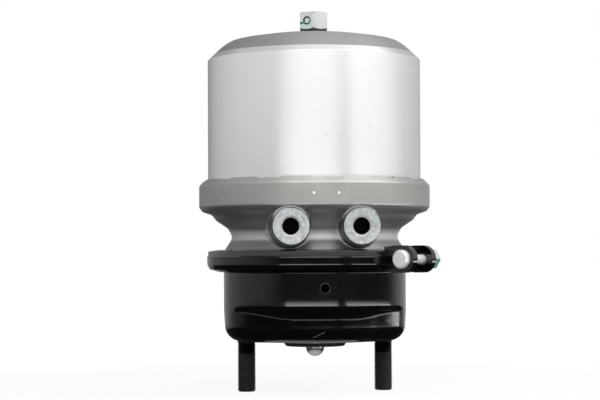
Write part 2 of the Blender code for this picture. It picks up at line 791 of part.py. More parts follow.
# power spring between its seat plate and the piston
seat_plate_bottom = seat_height - FIT - SEAT_PLATE
turned(
    "spring_seat_plate",
    ring(SEAT_INNER + 1 * mm, SEAT_OUTER - 1 * mm, seat_plate_bottom, seat_height - FIT),
    steel,
    FACET_COUNT_MEDIUM,
)
coil(
    "power_spring",
    spring_steel,
    POWER_WIRE,
    POWER_COIL_RADIUS,
    POWER_COIL_RADIUS,
    piston_floor + FIT + POWER_WIRE / 2,
    seat_plate_bottom - FIT - POWER_WIRE / 2,
    POWER_TURNS,
    12,
    1,
)

# everything that the release screw pulls up: piston, seals, push tube and nut
piston_axis = bpy.data.objects.new("piston_axis", None)
parts.objects.link(piston_axis)
piston_radius = chamber_bore - RUN
piston_top = piston_base + PISTON_SKIRT
guide_bottom = piston_base + PISTON_PLATE
guide_top = guide_bottom + GUIDE_WIDTH
seal_bottom = guide_top + 3 * mm
seal_top = seal_bottom + SEAL_WIDTH
ring_root = piston_radius - RING_DEPTH
hub_roof = nut_base + RELEASE_NUT_HEIGHT + FIT
piston_profile = [
    (piston_radius - PISTON_RIM, piston_top),
    (piston_radius, piston_top),
    (piston_radius, seal_top),
    (ring_root, seal_top),
    (ring_root, seal_bottom),
    (piston_radius, seal_bottom),
    (piston_radius, guide_top),
    (ring_root, guide_top),
    (ring_root, guide_bottom),
    (piston_radius, guide_bottom),
    (piston_radius, piston_base),
    (PISTON_HUB_RADIUS, piston_base),
    (PISTON_HUB_RADIUS, piston_hub_base),
    (SCREW_DIAMETER / 2 + TURN, piston_hub_base),
    (SCREW_DIAMETER / 2 + TURN, hub_roof + PISTON_HUB_RISE),
    (PISTON_HUB_RADIUS, hub_roof + PISTON_HUB_RISE),
    (PISTON_HUB_RADIUS + 3 * mm, piston_floor),
    (piston_radius - PISTON_RIM, piston_floor),
]
spring_piston = turned("spring_piston", piston_profile, cast, FACET_COUNT_LARGE)
pocket = add_tool(
    "nut_pocket",
    cylinder_mesh(
        "nut_pocket",
        (RELEASE_NUT_WIDTH / 2 + FIT) / math.cos(math.pi / 6),
        hub_roof - piston_hub_base + 5 * mm,
        6,
    ),
)
pocket.location.z = piston_hub_base - 5 * mm
boolean(spring_piston, pocket)
piston_seal = turned(
    "piston_seal",
    ring(ring_root + FIT, chamber_bore - FIT, seal_bottom + FIT, seal_top - FIT),
    rubber,
    FACET_COUNT_LARGE,
)
guide_ring = turned(
    "piston_guide_ring",
    ring(ring_root + FIT, chamber_bore - FIT, guide_bottom + FIT, guide_top - FIT),
    plastic,
    FACET_COUNT_LARGE,
)
tube_bore = TUBE_RADIUS - TUBE_WALL
push_tube = turned(
    "push_tube",
    [
        (TUBE_RADIUS + TUBE_FLANGE, tube_top),
        (TUBE_RADIUS + TUBE_FLANGE, tube_top - TUBE_FLANGE_THICKNESS),
        (TUBE_RADIUS, tube_top - TUBE_FLANGE_THICKNESS),
        (TUBE_RADIUS, tube_bottom),
        (tube_bore, tube_bottom),
        (tube_bore, tube_top),
    ],
    steel,
    FACET_COUNT_MEDIUM,
)
tube_cap = turned(
    "tube_end_cap",
    [
        (0, tube_bottom + TUBE_CAP_SPIGOT),
        (tube_bore - FIT, tube_bottom + TUBE_CAP_SPIGOT),
        (tube_bore - FIT, tube_bottom - FIT),
        (TUBE_RADIUS, tube_bottom - FIT),
        (TUBE_RADIUS, cap_bottom + 0.8 * mm),
        (TUBE_RADIUS - 0.8 * mm, cap_bottom),
        (0, cap_bottom),
    ],
    steel,
    FACET_COUNT_MEDIUM,
    closed=False,
)
release_nut = add_part(
    "release_nut",
    cylinder_mesh("release_nut", RELEASE_NUT_WIDTH / 2 / math.cos(math.pi / 6), RELEASE_NUT_HEIGHT, 6),
    steel,
)
release_nut.location.z = nut_base
nut_bore = add_tool(
    "nut_bore",
    cylinder_mesh("nut_bore", SCREW_DIAMETER / 2 + TURN, RELEASE_NUT_HEIGHT + 6 * mm, FACET_COUNT_SMALL),
)
nut_bore.location.z = nut_base - 3 * mm
boolean(release_nut, nut_bore)
for piece in (spring_piston, piston_seal, guide_ring, push_tube, tube_cap, release_nut):
    piece.parent = piston_axis

# release screw: it turns in the crown, with its hexagon pinned on outside
screw_axis = bpy.data.objects.new("screw_axis", None)
parts.objects.link(screw_axis)
hex_top = hex_base + HEX_HEIGHT
thread_top = boss_base - 2 * mm
screw_end = piston_hub_base - STROKE - SCREW_TAIL
release_screw = turned(
    "release_screw",
    [
        (0, hex_top - 1.2 * mm),
        (SCREW_NECK / 2 - 1 * mm, hex_top - 1.2 * mm),
        (SCREW_NECK / 2, hex_top - 2.2 * mm),
        (SCREW_NECK / 2, thread_top),
        (SCREW_DIAMETER / 2, thread_top - 1 * mm),
        (SCREW_DIAMETER / 2, screw_end + 2 * mm),
        (SCREW_DIAMETER / 2 - 2 * mm, screw_end),
        (0, screw_end),
    ],
    steel,
    FACET_COUNT_SMALL,
    closed=False,
)
hex_corner = HEX_WIDTH / 2 / math.cos(math.pi / 6)
release_hex = add_part("release_hex", cylinder_mesh("release_hex", hex_corner, HEX_HEIGHT, 6), zinc)
release_hex.location.z = hex_base
release_hex.rotation_euler.z = math.radians(HEX_TURN)
hex_rounding = turned_tool(
    "hex_rounding",
    [
        (0, hex_top),
        (HEX_WIDTH / 2 - 0.3 * mm, hex_top),
        (hex_corner + 0.6 * mm, hex_top - 1.5 * mm),
        (hex_corner + 0.6 * mm, hex_base + 1.2 * mm),
        (HEX_WIDTH / 2 + 0.2 * mm, hex_base),
        (0, hex_base),
    ],
    FACET_COUNT_MEDIUM,
    closed=False,
)
boolean(release_hex, hex_rounding, "INTERSECT")
hex_bore = add_tool(
    "hex_bore",
    cylinder_mesh("hex_bore", SCREW_NECK / 2 + FIT, 2 * HEX_HEIGHT, FACET_COUNT_SMALL),
)
hex_bore.location.z = hex_base - HEX_HEIGHT / 2
boolean(release_hex, hex_bore)
pin_side = Matrix.Rotation(math.radians(HEX_TURN - 30 - 90), 3, "Z") @ Vector((1, 0, 0))
pin_height = hex_base + HEX_HEIGHT / 2
pin_hole = add_tool(
    "pin_hole",
    cylinder_mesh("pin_hole", PIN_DIAMETER / 2 + FIT, 2 * HEX_WIDTH, FACET_COUNT_SMALL),
)
point_along(pin_hole, Vector((0, 0, pin_height)) - pin_side * HEX_WIDTH, pin_side)
boolean(release_hex, pin_hole)
boolean(release_screw, pin_hole)
pin_half = HEX_WIDTH / 2 - FIT
release_pin = turned(
    "release_pin",
    [
        (0, 2 * pin_half),
        (PIN_DIAMETER / 2 - 0.4 * mm, 2 * pin_half),
        (PIN_DIAMETER / 2, 2 * pin_half - 0.4 * mm),
        (PIN_DIAMETER / 2, 0.4 * mm),
        (PIN_DIAMETER / 2 - 0.4 * mm, 0),
        (0, 0),
    ],
    zinc,
    FACET_COUNT_SMALL,
    closed=False,
)
point_along(release_pin, Vector((0, 0, pin_height)) - pin_side * pin_half, pin_side)
for piece in (release_screw, release_hex, release_pin):
    piece.parent = screw_axis
turned(
    "screw_thrust_washer",
    ring(screw_bore, WASHER_RADIUS, chamber_top + FIT, chamber_top + FIT + WASHER_THICKNESS),
    phosphate,
    FACET_COUNT_MEDIUM,
)

# push plate and rod, which the diaphragm pushes down
rod_axis = bpy.data.objects.new("rod_axis", None)
parts.objects.link(rod_axis)
rod_radius = ROD_DIAMETER / 2
plate_bottom = plate_top - PLATE_THICKNESS
plate_hub_bottom = plate_bottom - PLATE_HUB_DEPTH
push_plate = turned(
    "push_plate",
    [
        (plate_radius - 2 * mm, plate_top),
        (plate_radius, plate_top - 1.5 * mm),
        (plate_radius, plate_bottom - 1 * mm),
        (plate_radius - 2 * mm, plate_bottom - 1 * mm),
        (plate_radius - 3.5 * mm, plate_bottom),
        (PLATE_HUB_RADIUS, plate_bottom),
        (PLATE_HUB_RADIUS, plate_hub_bottom),
        (rod_radius + FIT, plate_hub_bottom),
        (rod_radius + FIT, plate_top),
    ],
    steel,
    FACET_COUNT_MEDIUM,
)
tip_centre = rod_radius - ROD_REACH
rod_points = [(0, plate_top), (rod_radius, plate_top)]
rod_points += arc((0, tip_centre), rod_radius, 0, -90, 5)[:-1]
rod_points += [(0, -ROD_REACH)]
push_rod = turned("push_rod", rod_points, steel, FACET_COUNT_SMALL, closed=False)
for piece in (push_plate, push_rod):
    piece.parent = rod_axis

# boot: a lip under the mounting face, a neck through it and folds up to the plate
boot_neck = ROD_HOLE_RADIUS - FIT
boot_flange_top = CUP_WALL + FIT + 2.8 * mm
lip_top = BASE_RECESS - FIT
lip_bottom = lip_top - BOOT_LIP
bead_bottom = plate_hub_bottom + 1 * mm
bead_top = plate_bottom - 1.5 * mm
fold_inner = PLATE_HUB_RADIUS + 2 * FIT
fold_outer = fold_inner + BOOT_FOLD
folds = BOOT_FOLDS * 2
outer_side = [(fold_outer - 1 * mm, bead_top), (fold_outer - 1 * mm, bead_bottom)]
inner_side = [(fold_inner, bead_top), (fold_inner, bead_bottom)]
fold_room = bead_bottom - boot_flange_top - 2 * mm
for i in range(1, folds):
    height = bead_bottom - fold_room * i / folds
    edge = fold_outer if i % 2 else fold_inner + BOOT_WALL
    outer_side.append((edge, height))
    inner_side.append((edge - BOOT_WALL, height))
boot_profile = outer_side + [
    (boot_neck - 2 * mm, boot_flange_top),
    (BOOT_LIP_RADIUS - 1 * mm, boot_flange_top),
    (BOOT_LIP_RADIUS - 1 * mm, CUP_WALL + FIT),
    (boot_neck, CUP_WALL + FIT),
    (boot_neck, lip_top),
    (BOOT_LIP_RADIUS, lip_top),
    (BOOT_LIP_RADIUS - 1.2 * mm, lip_bottom),
    (boot_neck - 3 * mm, lip_bottom),
    (boot_neck - 4 * mm, boot_flange_top - 1 * mm),
] + inner_side[::-1]
turned("rod_boot", boot_profile, rubber, FACET_COUNT_SMALL)

# pressed ring that holds the boot down and carries the return spring
seat_top = CUP_WALL + FIT + SEAT_RING_SHEET
step_radius = BOOT_LIP_RADIUS + BOOT_LAND
seat_ring_radius = STUD_SPACING / 2 - STUD_HEAD_RADIUS - SEAT_RING_GAP
return_base_radius = seat_ring_radius - RETURN_INSET
turned(
    "boot_retainer",
    [
        (step_radius, boot_flange_top + FIT + SEAT_RING_SHEET),
        (step_radius + SEAT_RING_SHEET, seat_top),
        (seat_ring_radius, seat_top),
        (seat_ring_radius, CUP_WALL + FIT),
        (step_radius - 0.5 * mm, CUP_WALL + FIT),
        (step_radius - 0.5 * mm, boot_flange_top + FIT),
        (boot_neck + 1 * mm, boot_flange_top + FIT),
        (boot_neck + 1 * mm, boot_flange_top + FIT + SEAT_RING_SHEET),
    ],
    steel,
    FACET_COUNT_MEDIUM,
)
coil(
    "return_spring",
    spring_steel,
    RETURN_WIRE,
    return_base_radius,
    RETURN_TOP_RADIUS,
    seat_top + FIT + RETURN_WIRE / 2,
    plate_bottom - FIT - RETURN_WIRE / 2,
    RETURN_TURNS,
    10,
    1,
)

# clamp ring: a V channel over both flanges, split between two ears
lip_rise = FLANGE_TAPER * CLAMP_OVERLAP
channel = DIAPHRAGM_RIM / 2 + FIT + FLANGE_EDGE + 0.5 * mm
lip_inner = flange_radius + 0.8 * mm
lip_edge = lip_inner - CLAMP_OVERLAP
band = lip_inner + CLAMP_WALL
clamp_profile = [
    (lip_edge + 0.4 * mm, channel + lip_rise + CLAMP_LIP),
    (band - 2.2 * mm, channel + CLAMP_LIP),
    (band, channel - 1 * mm),
    (band, 1 * mm - channel),
    (band - 2.2 * mm, -channel - CLAMP_LIP),
    (lip_edge + 0.4 * mm, -channel - lip_rise - CLAMP_LIP),
    (lip_edge, -channel - lip_rise),
    (lip_inner, -channel),
    (lip_inner, channel),
    (lip_edge, channel + lip_rise),
]
clamp_ring = turned("clamp_ring", clamp_profile, black, FACET_COUNT_LARGE)
clamp_ring.location.z = clamp_height
split_place = around(EAR_ANGLE, band, clamp_height)
split_size = (
    2 * (band - lip_edge + OVERRUN),
    EAR_GAP + EAR_THICKNESS,
    2 * (channel + lip_rise + CLAMP_LIP + OVERRUN),
)
split = add_tool("clamp_split", boxes_mesh("clamp_split", split_size, [split_place]))
boolean(clamp_ring, split)

# its lips have a gap on both sides, where the clamp bends when it is opened
notch_depth = CLAMP_OVERLAP + OVERRUN
notch_size = (notch_depth, NOTCH_WIDTH, split_size[2])
notch_places = [
    around(EAR_ANGLE + side * NOTCH_ANGLE, lip_inner - notch_depth / 2, clamp_height)
    for side in (-1, 1)
]
notches = add_tool("clamp_notches", boxes_mesh("clamp_notches", notch_size, notch_places))
boolean(clamp_ring, notches)
bolt_radius = band + EAR_REACH
outward = around(EAR_ANGLE, 0, 0).to_3x3() @ Vector((1, 0, 0))
along = around(EAR_ANGLE, 0, 0).to_3x3() @ Vector((0, 1, 0))
ear_root = lip_inner + 1 * mm


def ear_mesh(name):
    """A flat ear with a round end and a bolt hole, in its own plane."""
    outline = bpy.data.curves.new(name, "CURVE")
    outline.dimensions = "2D"
    outline.fill_mode = "BOTH"
    outline.extrude = EAR_THICKNESS / 2
    edge = [(ear_root, EAR_TAPER - EAR_RADIUS)]
    edge += arc((bolt_radius, 0), EAR_RADIUS, -90, 90, 9)
    edge += [(ear_root, EAR_RADIUS - EAR_TAPER)]
    hole = arc((bolt_radius, 0), BOLT_DIAMETER / 2 + EAR_HOLE_MARGIN, 0, -360, 13)[:-1]
    for points in (edge, hole):
        line = outline.splines.new("POLY")
        line.use_cyclic_u = True
        line.points.add(len(points) - 1)
        for i, (x, y) in enumerate(points):
            line.points[i].co = (x, y, 0, 1)
    flat = bpy.data.objects.new(name, outline)
    tools.objects.link(flat)
    bpy.context.view_layer.update()
    mesh = bpy.data.meshes.new_from_object(flat.evaluated_get(bpy.context.evaluated_depsgraph_get()))
    shape = bmesh.new()
    shape.from_mesh(mesh)
    bmesh.ops.remove_doubles(shape, verts=shape.verts, dist=0.00001)
    shape.to_mesh(mesh)
    shape.free()
    bpy.data.objects.remove(flat)
    return mesh


for side, name in ((-1, "near"), (1, "far")):
    ear = add_tool(f"ear_{name}", ear_mesh(f"ear_{name}"))
    middle = side * (EAR_GAP + EAR_THICKNESS) / 2
    frame = Matrix.Identity(3)
    frame.col[0] = outward
    frame.col[1] = Vector((0, 0, 1))
    frame.col[2] = outward.cross(Vector((0, 0, 1)))
    ear.matrix_world = Matrix.Translation(along * middle + Vector((0, 0, clamp_height))) @ frame.to_4x4()
    boolean(clamp_ring, ear, "UNION")

# clamp bolt and nut, square to the ears
ear_outside = EAR_GAP / 2 + EAR_THICKNESS
bolt_length = 2 * ear_outside + 2 * FIT + NUT_HEIGHT + BOLT_TAIL
bolt_start = outward * bolt_radius - along * (ear_outside + FIT) + Vector((0, 0, clamp_height))
clamp_bolt = turned(
    "clamp_bolt",
    [
        (0, bolt_length),
        (BOLT_DIAMETER / 2 - 1 * mm, bolt_length),
        (BOLT_DIAMETER / 2, bolt_length - 1 * mm),
        (BOLT_DIAMETER / 2, 0),
        (BOLT_HEAD_RADIUS, 0),
        (BOLT_HEAD_RADIUS, -0.6 * BOLT_HEAD_HEIGHT),
        (0.75 * BOLT_HEAD_RADIUS, -BOLT_HEAD_HEIGHT),
        (0, -BOLT_HEAD_HEIGHT),
    ],
    zinc,
    FACET_COUNT_SMALL,
    closed=False,
)
point_along(clamp_bolt, bolt_start, along)
nut_corner = NUT_WIDTH / 2 / math.cos(math.pi / 6)
nut_start = bolt_start + along * (2 * ear_outside + 2 * FIT)
clamp_nut = add_part("clamp_nut", cylinder_mesh("clamp_nut", nut_corner, NUT_HEIGHT, 6), zinc)
point_along(clamp_nut, nut_start, along)
nut_rounding = turned_tool(
    "nut_rounding",
    [
        (0, NUT_HEIGHT),
        (NUT_WIDTH / 2, NUT_HEIGHT),
        (nut_corner + 0.2 * mm, NUT_HEIGHT - 1.2 * mm),
        (nut_corner + 0.2 * mm, 0),
        (0, 0),
    ],
    FACET_COUNT_SMALL,
    closed=False,
)
point_along(nut_rounding, nut_start, along)
boolean(clamp_nut, nut_rounding, "INTERSECT")
bolt_hole = add_tool(
    "bolt_hole",
    cylinder_mesh("bolt_hole", BOLT_DIAMETER / 2 + FIT, 2 * NUT_HEIGHT, FACET_COUNT_SMALL),
)
point_along(bolt_hole, nut_start - along * NUT_HEIGHT / 2, along)
boolean(clamp_nut, bolt_hole)

for piece in parts.objects:
    if piece.type == "MESH":
        piece.data.shade_smooth()
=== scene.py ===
import math

import bmesh
import bpy
from mathutils import Matrix, Vector
from mathutils.kdtree import KDTree


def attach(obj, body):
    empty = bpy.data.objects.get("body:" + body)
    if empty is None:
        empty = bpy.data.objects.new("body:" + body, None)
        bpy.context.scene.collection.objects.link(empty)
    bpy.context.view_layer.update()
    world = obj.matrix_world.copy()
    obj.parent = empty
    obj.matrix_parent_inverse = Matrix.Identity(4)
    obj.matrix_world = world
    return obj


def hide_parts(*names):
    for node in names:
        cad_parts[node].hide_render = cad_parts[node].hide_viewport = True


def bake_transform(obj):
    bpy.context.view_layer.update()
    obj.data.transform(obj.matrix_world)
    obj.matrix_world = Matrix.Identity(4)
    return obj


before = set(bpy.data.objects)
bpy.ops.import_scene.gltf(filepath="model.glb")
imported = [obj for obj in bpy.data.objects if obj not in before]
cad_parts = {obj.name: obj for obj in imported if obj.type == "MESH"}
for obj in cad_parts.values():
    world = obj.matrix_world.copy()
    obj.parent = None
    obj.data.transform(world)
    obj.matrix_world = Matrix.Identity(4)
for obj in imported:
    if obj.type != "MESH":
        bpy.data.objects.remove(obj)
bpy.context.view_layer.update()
mm = 0.001
scene = bpy.context.scene
print("frame loaded")


# shapes

def eased(share):
    share = min(max(share, 0), 1)
    return share * share * (3 - 2 * share)


def roundCorners(points, closed=False, steps=4):
    # each point is (radius, height) or (radius, height, fillet)
    shaped = []
    count = len(points)
    for i, point in enumerate(points):
        fillet = point[2] if len(point) > 2 else 0
        atEnd = not closed and i in (0, count - 1)
        if not fillet or atEnd:
            shaped.append((point[0], point[1]))
            continue
        here = Vector(point[:2])
        toBefore = Vector(points[i - 1][:2]) - here
        toAfter = Vector(points[(i + 1) % count][:2]) - here
        half = toBefore.angle(toAfter, math.pi) / 2
        if half > 1.55:  # nearly straight, so there is no corner to round
            shaped += [(point[0], point[1])] * (steps + 1)
            continue
        reach = min(fillet / math.tan(half), 0.49 * toBefore.length, 0.49 * toAfter.length)
        radius = reach * math.tan(half)
        middle = (toBefore.normalized() + toAfter.normalized()).normalized()
        centre = here + middle * radius / math.sin(half)
        first = here + toBefore.normalized() * reach - centre
        last = here + toAfter.normalized() * reach - centre
        sweep = first.angle(last)
        for k in range(steps + 1):
            share = k / steps
            arm = first * math.sin((1 - share) * sweep) + last * math.sin(share * sweep)
            shaped.append(tuple(centre + arm / math.sin(sweep)))
    return shaped


def throughPoints(points, steps):
    # a smooth line through the given points
    line = []
    ends = [points[0]] + points + [points[-1]]
    for i in range(len(points) - 1):
        a, b, c, d = [Vector(p) for p in ends[i:i + 4]]
        for k in range(steps):
            t = k / steps
            bend = 2 * b + (c - a) * t + (2 * a - 5 * b + 4 * c - d) * t * t
            line.append(tuple((bend + (3 * b - a - 3 * c + d) * t ** 3) / 2))
    return line + [points[-1]]


def smoothed(mesh, sharpAngle=32):
    mesh.shade_smooth()
    mesh.set_sharp_from_angle(angle=math.radians(sharpAngle))


def newPiece(name, shape, sharpAngle=32, weld=True):
    # an object of a bmesh, smooth but for its sharp edges
    if weld:
        bmesh.ops.remove_doubles(shape, verts=shape.verts, dist=0.002 * mm)
        bmesh.ops.dissolve_degenerate(shape, edges=shape.edges, dist=0.002 * mm)
        bmesh.ops.recalc_face_normals(shape, faces=shape.faces)
    mesh = bpy.data.meshes.new(name)
    shape.to_mesh(mesh)
    shape.free()
    smoothed(mesh, sharpAngle)
    piece = bpy.data.objects.new(name, mesh)
    scene.collection.objects.link(piece)
    return piece


def place(piece, matrix):
    piece.data.transform(matrix)
    piece.data.update()
    return piece


def skin(shape, columns, closed):
    # quads between neighbouring columns of vertices, all the way round
    rows = len(columns[0])
    for here, there in zip(columns, columns[1:] + columns[:1]):
        for k in range(rows if closed else rows - 1):
            after = (k + 1) % rows
            corners = []
            for vert in (here[k], here[after], there[after], there[k]):
                if vert not in corners:
                    corners.append(vert)
            if len(corners) > 2:
                shape.faces.new(corners)


def turned(name, points, sides=64, closed=False, steps=4, at=Matrix()):
    # a turned piece from a profile in millimetres, its outer side from top to bottom
    points = roundCorners(points, closed, steps)
    shape = bmesh.new()
    poles = {}
    columns = []
    for i in range(sides):
        angle = 2 * math.pi * i / sides
        column = []
        for k, (r, z) in enumerate(points):
            if abs(r) < 1e-6:
                if k not in poles:
                    poles[k] = shape.verts.new((0, 0, z * mm))
                column.append(poles[k])
            else:
                column.append(shape.verts.new((r * mm * math.cos(angle), r * mm * math.sin(angle), z * mm)))
        columns.append(column)
    skin(shape, columns, closed)
    return place(newPiece(name, shape), at)


def prism(name, corners, bottom, top, bevel=0.0):
    # an upright prism over corners (x, y) in millimetres, with rounded edges
    shape = bmesh.new()
    low = [shape.verts.new((x * mm, y * mm, bottom * mm)) for x, y in corners]
    high = [shape.verts.new((x * mm, y * mm, top * mm)) for x, y in corners]
    shape.faces.new(low[::-1])
    shape.faces.new(high)
    for i in range(len(corners)):
        j = (i + 1) % len(corners)
        shape.faces.new((low[i], low[j], high[j], high[i]))
    if bevel:
        bmesh.ops.bevel(
            shape, geom=list(shape.edges), offset=bevel * mm, offset_type="OFFSET",
            segments=3, profile=0.5, affect="EDGES",
        )
    return newPiece(name, shape)


def baked(piece):
    # makes a piece's modifiers part of its mesh
    bpy.context.view_layer.update()
    graph = bpy.context.evaluated_depsgraph_get()
    piece.data = bpy.data.meshes.new_from_object(piece.evaluated_get(graph))
    piece.modifiers.clear()
    return piece


def boolean(piece, tools, operation="DIFFERENCE"):
    for tool in tools:
        cut = piece.modifiers.new("cut", "BOOLEAN")
        cut.operation = operation
        cut.solver = "EXACT"
        cut.object = tool
    smoothed(baked(piece).data)
    for tool in tools:
        bpy.data.objects.remove(tool, do_unlink=True)


def joined(name, pieces, weld=False):
    # one mesh of several, and their seams merged where they are one skin
    shape = bmesh.new()
    for piece in pieces:
        shape.from_mesh(piece.data)
        bpy.data.objects.remove(piece, do_unlink=True)
    return newPiece(name, shape, weld=weld)


def direction(angle):
    # outwards, at an angle in degrees from -Y towards +X
    return Vector((math.sin(math.radians(angle)), -math.cos(math.radians(angle)), 0))


def lying(start, axis):
    # matrix of a place in millimetres whose Z runs along a level axis
    z = Vector(axis).normalized()
    x = Vector((0, 0, 1)).cross(z).normalized()
    turn = Matrix((x, z.cross(x), z)).transposed().to_4x4()
    return Matrix.Translation(Vector(start) * mm) @ turn


def settle(piece, looks, body, node):
    # gives a finished piece its materials and its body, and hides the CAD part it stands for
    even = piece.modifiers.new("even", "WEIGHTED_NORMAL")  # long flat strips stay flat
    even.weight = 80
    even.keep_sharp = True
    baked(piece).data.materials.clear()
    for look in looks.split():
        piece.data.materials.append(finishes[look])
    if body:
        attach(piece, body)
    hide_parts(node)


# nodes

class Output:
    # an output of a node, and arithmetic on it adds nodes to its tree
    def __init__(self, socket):
        self.socket = socket

    def into(self, kind, inputs, output=0, **settings):
        return fromNode(self.socket.id_data, kind, inputs, output, **settings)

    def math(self, operation, *others):
        return self.into("ShaderNodeMath", dict(enumerate((self, *others))), operation=operation)

    def __add__(self, other):
        return self.math("ADD", other)

    def __sub__(self, other):
        return self.math("SUBTRACT", other)

    def __mul__(self, other):
        return self.math("MULTIPLY", other)

    def greater(self, other):
        return self.math("MAXIMUM", other)

    def smaller(self, other):
        return self.math("MINIMUM", other)

    def size(self):
        return self.math("ABSOLUTE")

    def diagonal(self, other):
        return (self * self + other * other).math("SQRT")

    def ramp(self, start, stop, low=0.0, high=1.0):
        return self.into("ShaderNodeMapRange", {0: self, 1: start, 2: stop, 3: low, 4: high})

    def number(self, under, over):
        # between two numbers, by this share
        return self.into("ShaderNodeMix", {0: self, 2: under, 3: over})

    def colour(self, under, over):
        # between two colours, by this share
        inputs = {0: self, 6: colourOf(under), 7: colourOf(over)}
        return self.into("ShaderNodeMix", inputs, 2, data_type="RGBA")

    def vector(self, operation, other=(0, 0, 0)):
        output = "Value" if operation in ("LENGTH", "DOT_PRODUCT") else 0
        return self.into("ShaderNodeVectorMath", {0: self, 1: other}, output, operation=operation)

    def offset(self, spot, stretch):
        # the way from a spot in millimetres, stretched on each axis
        return self.vector("SUBTRACT", [v * mm for v in spot]).vector("MULTIPLY", stretch).vector("LENGTH")

    def noise(self, scale, detail=2.0, roughness=0.5, distortion=0.0):
        inputs = {"Vector": self, "Scale": scale, "Detail": detail, "Roughness": roughness}
        return self.into("ShaderNodeTexNoise", {**inputs, "Distortion": distortion})

    def apart(self):
        split = addNode(self.socket.id_data, "ShaderNodeSeparateXYZ", {0: self})
        return [Output(socket) for socket in split.outputs]


def connect(socket, value):
    if isinstance(value, Output):
        socket.id_data.links.new(value.socket, socket)
    else:
        socket.default_value = value


def addNode(tree, kind, inputs, **settings):
    node = tree.nodes.new(kind)
    for key, value in settings.items():
        setattr(node, key, value)
    for key, value in inputs.items():
        connect(node.inputs[key], value)
    return node


def fromNode(tree, kind, inputs, output=0, **settings):
    return Output(addNode(tree, kind, inputs, **settings).outputs[output])


def colourOf(value):
    # a grey is given as one number
    if isinstance(value, Output):
        return value
    return (value, value, value, 1) if isinstance(value, float) else (*value, 1)


def combined(tree, x=0.0, y=0.0, z=0.0):
    return fromNode(tree, "ShaderNodeCombineXYZ", {0: x, 1: y, 2: z})


def position(tree):
    return fromNode(tree, "GeometryNodeInputPosition", {}).apart()


# geometry node trees

def newTree(name, inputs):
    tree = bpy.data.node_groups.new(name, "GeometryNodeTree")
    kinds = {int: "NodeSocketInt", float: "NodeSocketFloat", tuple: "NodeSocketVector"}
    for label, value in inputs.items():
        socket = tree.interface.new_socket(name=label, in_out="INPUT", socket_type=kinds[type(value)])
        socket.default_value = value
    tree.interface.new_socket(name="Material", in_out="INPUT", socket_type="NodeSocketMaterial")
    tree.interface.new_socket(name="Geometry", in_out="OUTPUT", socket_type="NodeSocketGeometry")
    return tree, {socket.name: Output(socket) for socket in tree.nodes.new("NodeGroupInput").outputs}


def endTree(tree, given, geometry):
    smooth = fromNode(tree, "GeometryNodeSetShadeSmooth", {"Geometry": geometry})
    whole = fromNode(tree, "GeometryNodeRealizeInstances", {"Geometry": smooth})
    dressed = fromNode(tree, "GeometryNodeSetMaterial", {"Geometry": whole, "Material": given["Material"]})
    connect(tree.nodes.new("NodeGroupOutput").inputs["Geometry"], dressed)
    return tree


def grow(name, tree, look, **sizes):
    # runs a tree once and keeps its plain mesh, and sizes are its inputs written without spaces
    piece = newPiece(name, bmesh.new(), weld=False)
    grower = piece.modifiers.new("grow", "NODES")
    grower.node_group = tree
    sizes["Material"] = finishes[look]
    for item in tree.interface.items_tree:
        label = item.name.replace(" ", "")
        if item.in_out == "INPUT" and label in sizes:
            grower[item.identifier] = sizes[label]
    return baked(piece)


def coilTree():
    tree, given = newTree("coil", {
        "Wire Radius": 0.002, "Bottom Radius": 0.04, "Top Radius": 0.03, "Base": 0.0, "Height": 0.08,
        "Turns": 4.0, "Close Ends": 0.5, "Points a Turn": 48, "Sides": 14,
    })
    spiral = fromNode(tree, "GeometryNodeCurveSpiral", {
        "Resolution": given["Points a Turn"], "Rotations": given["Turns"],
        "Start Radius": given["Bottom Radius"], "End Radius": given["Top Radius"], "Height": 1.0,
    })
    x, y, share = position(tree)
    wave = (share * (2 * math.pi)).math("SINE") * given["Close Ends"]
    height = (wave * (-0.5 / math.pi) + share) * given["Height"] + given["Base"]
    path = fromNode(tree, "GeometryNodeSetPosition", {
        "Geometry": spiral, "Position": combined(tree, x, y, height),
    })
    section = fromNode(tree, "GeometryNodeCurvePrimitiveCircle", {
        "Resolution": given["Sides"], "Radius": given["Wire Radius"],
    })
    wire = fromNode(tree, "GeometryNodeCurveToMesh", {
        "Curve": path, "Profile Curve": section, "Fill Caps": True,
    })
    return endTree(tree, given, wire)


def threadTree():
    # an open sleeve whose rows follow the helix, with both ends cut square
    tree, given = newTree("thread", {
        "Radius": 0.008, "Depth": 0.0009, "Pitch": 0.0015, "Length": 0.03, "Base": 0.0,
        "Bottom Radius": 0.007, "Top Radius": 0.007, "Outward": 1.0, "Rows a Turn": 6, "Sides": 40,
    })
    length = given["Length"]
    sign = given["Outward"]
    turns = (length + given["Pitch"]).math("DIVIDE", given["Pitch"])
    grid = fromNode(tree, "GeometryNodeMeshGrid", {
        "Size X": 1.0, "Size Y": 1.0,
        "Vertices X": turns * given["Rows a Turn"] + 1.0, "Vertices Y": given["Sides"] + 1.0,
    })
    x, y, z = position(tree)
    along = x + 0.5
    around = y + 0.5
    climb = along * turns + around
    height = ((climb - 1.0) * given["Pitch"]).smaller(length).greater(0.0)
    phase = (along * turns + 0.0005).math("FRACT")
    groove = ((phase * 2.0 - 1.0).size() * 1.35 - 0.17).greater(0.0).smaller(1.0)
    body = sign * given["Radius"] - groove * given["Depth"]
    low = sign * given["Bottom Radius"] + height
    high = sign * given["Top Radius"] + (length - height)
    radius = sign * body.smaller(low).smaller(high)
    angle = around * (2 * math.pi)
    spot = combined(tree, angle.math("COSINE") * radius, angle.math("SINE") * radius, height + given["Base"])
    sleeve = fromNode(tree, "GeometryNodeSetPosition", {"Geometry": grid, "Position": spot})
    merged = fromNode(tree, "GeometryNodeMergeByDistance", {"Geometry": sleeve, "Distance": 0.000004})
    return endTree(tree, given, merged)


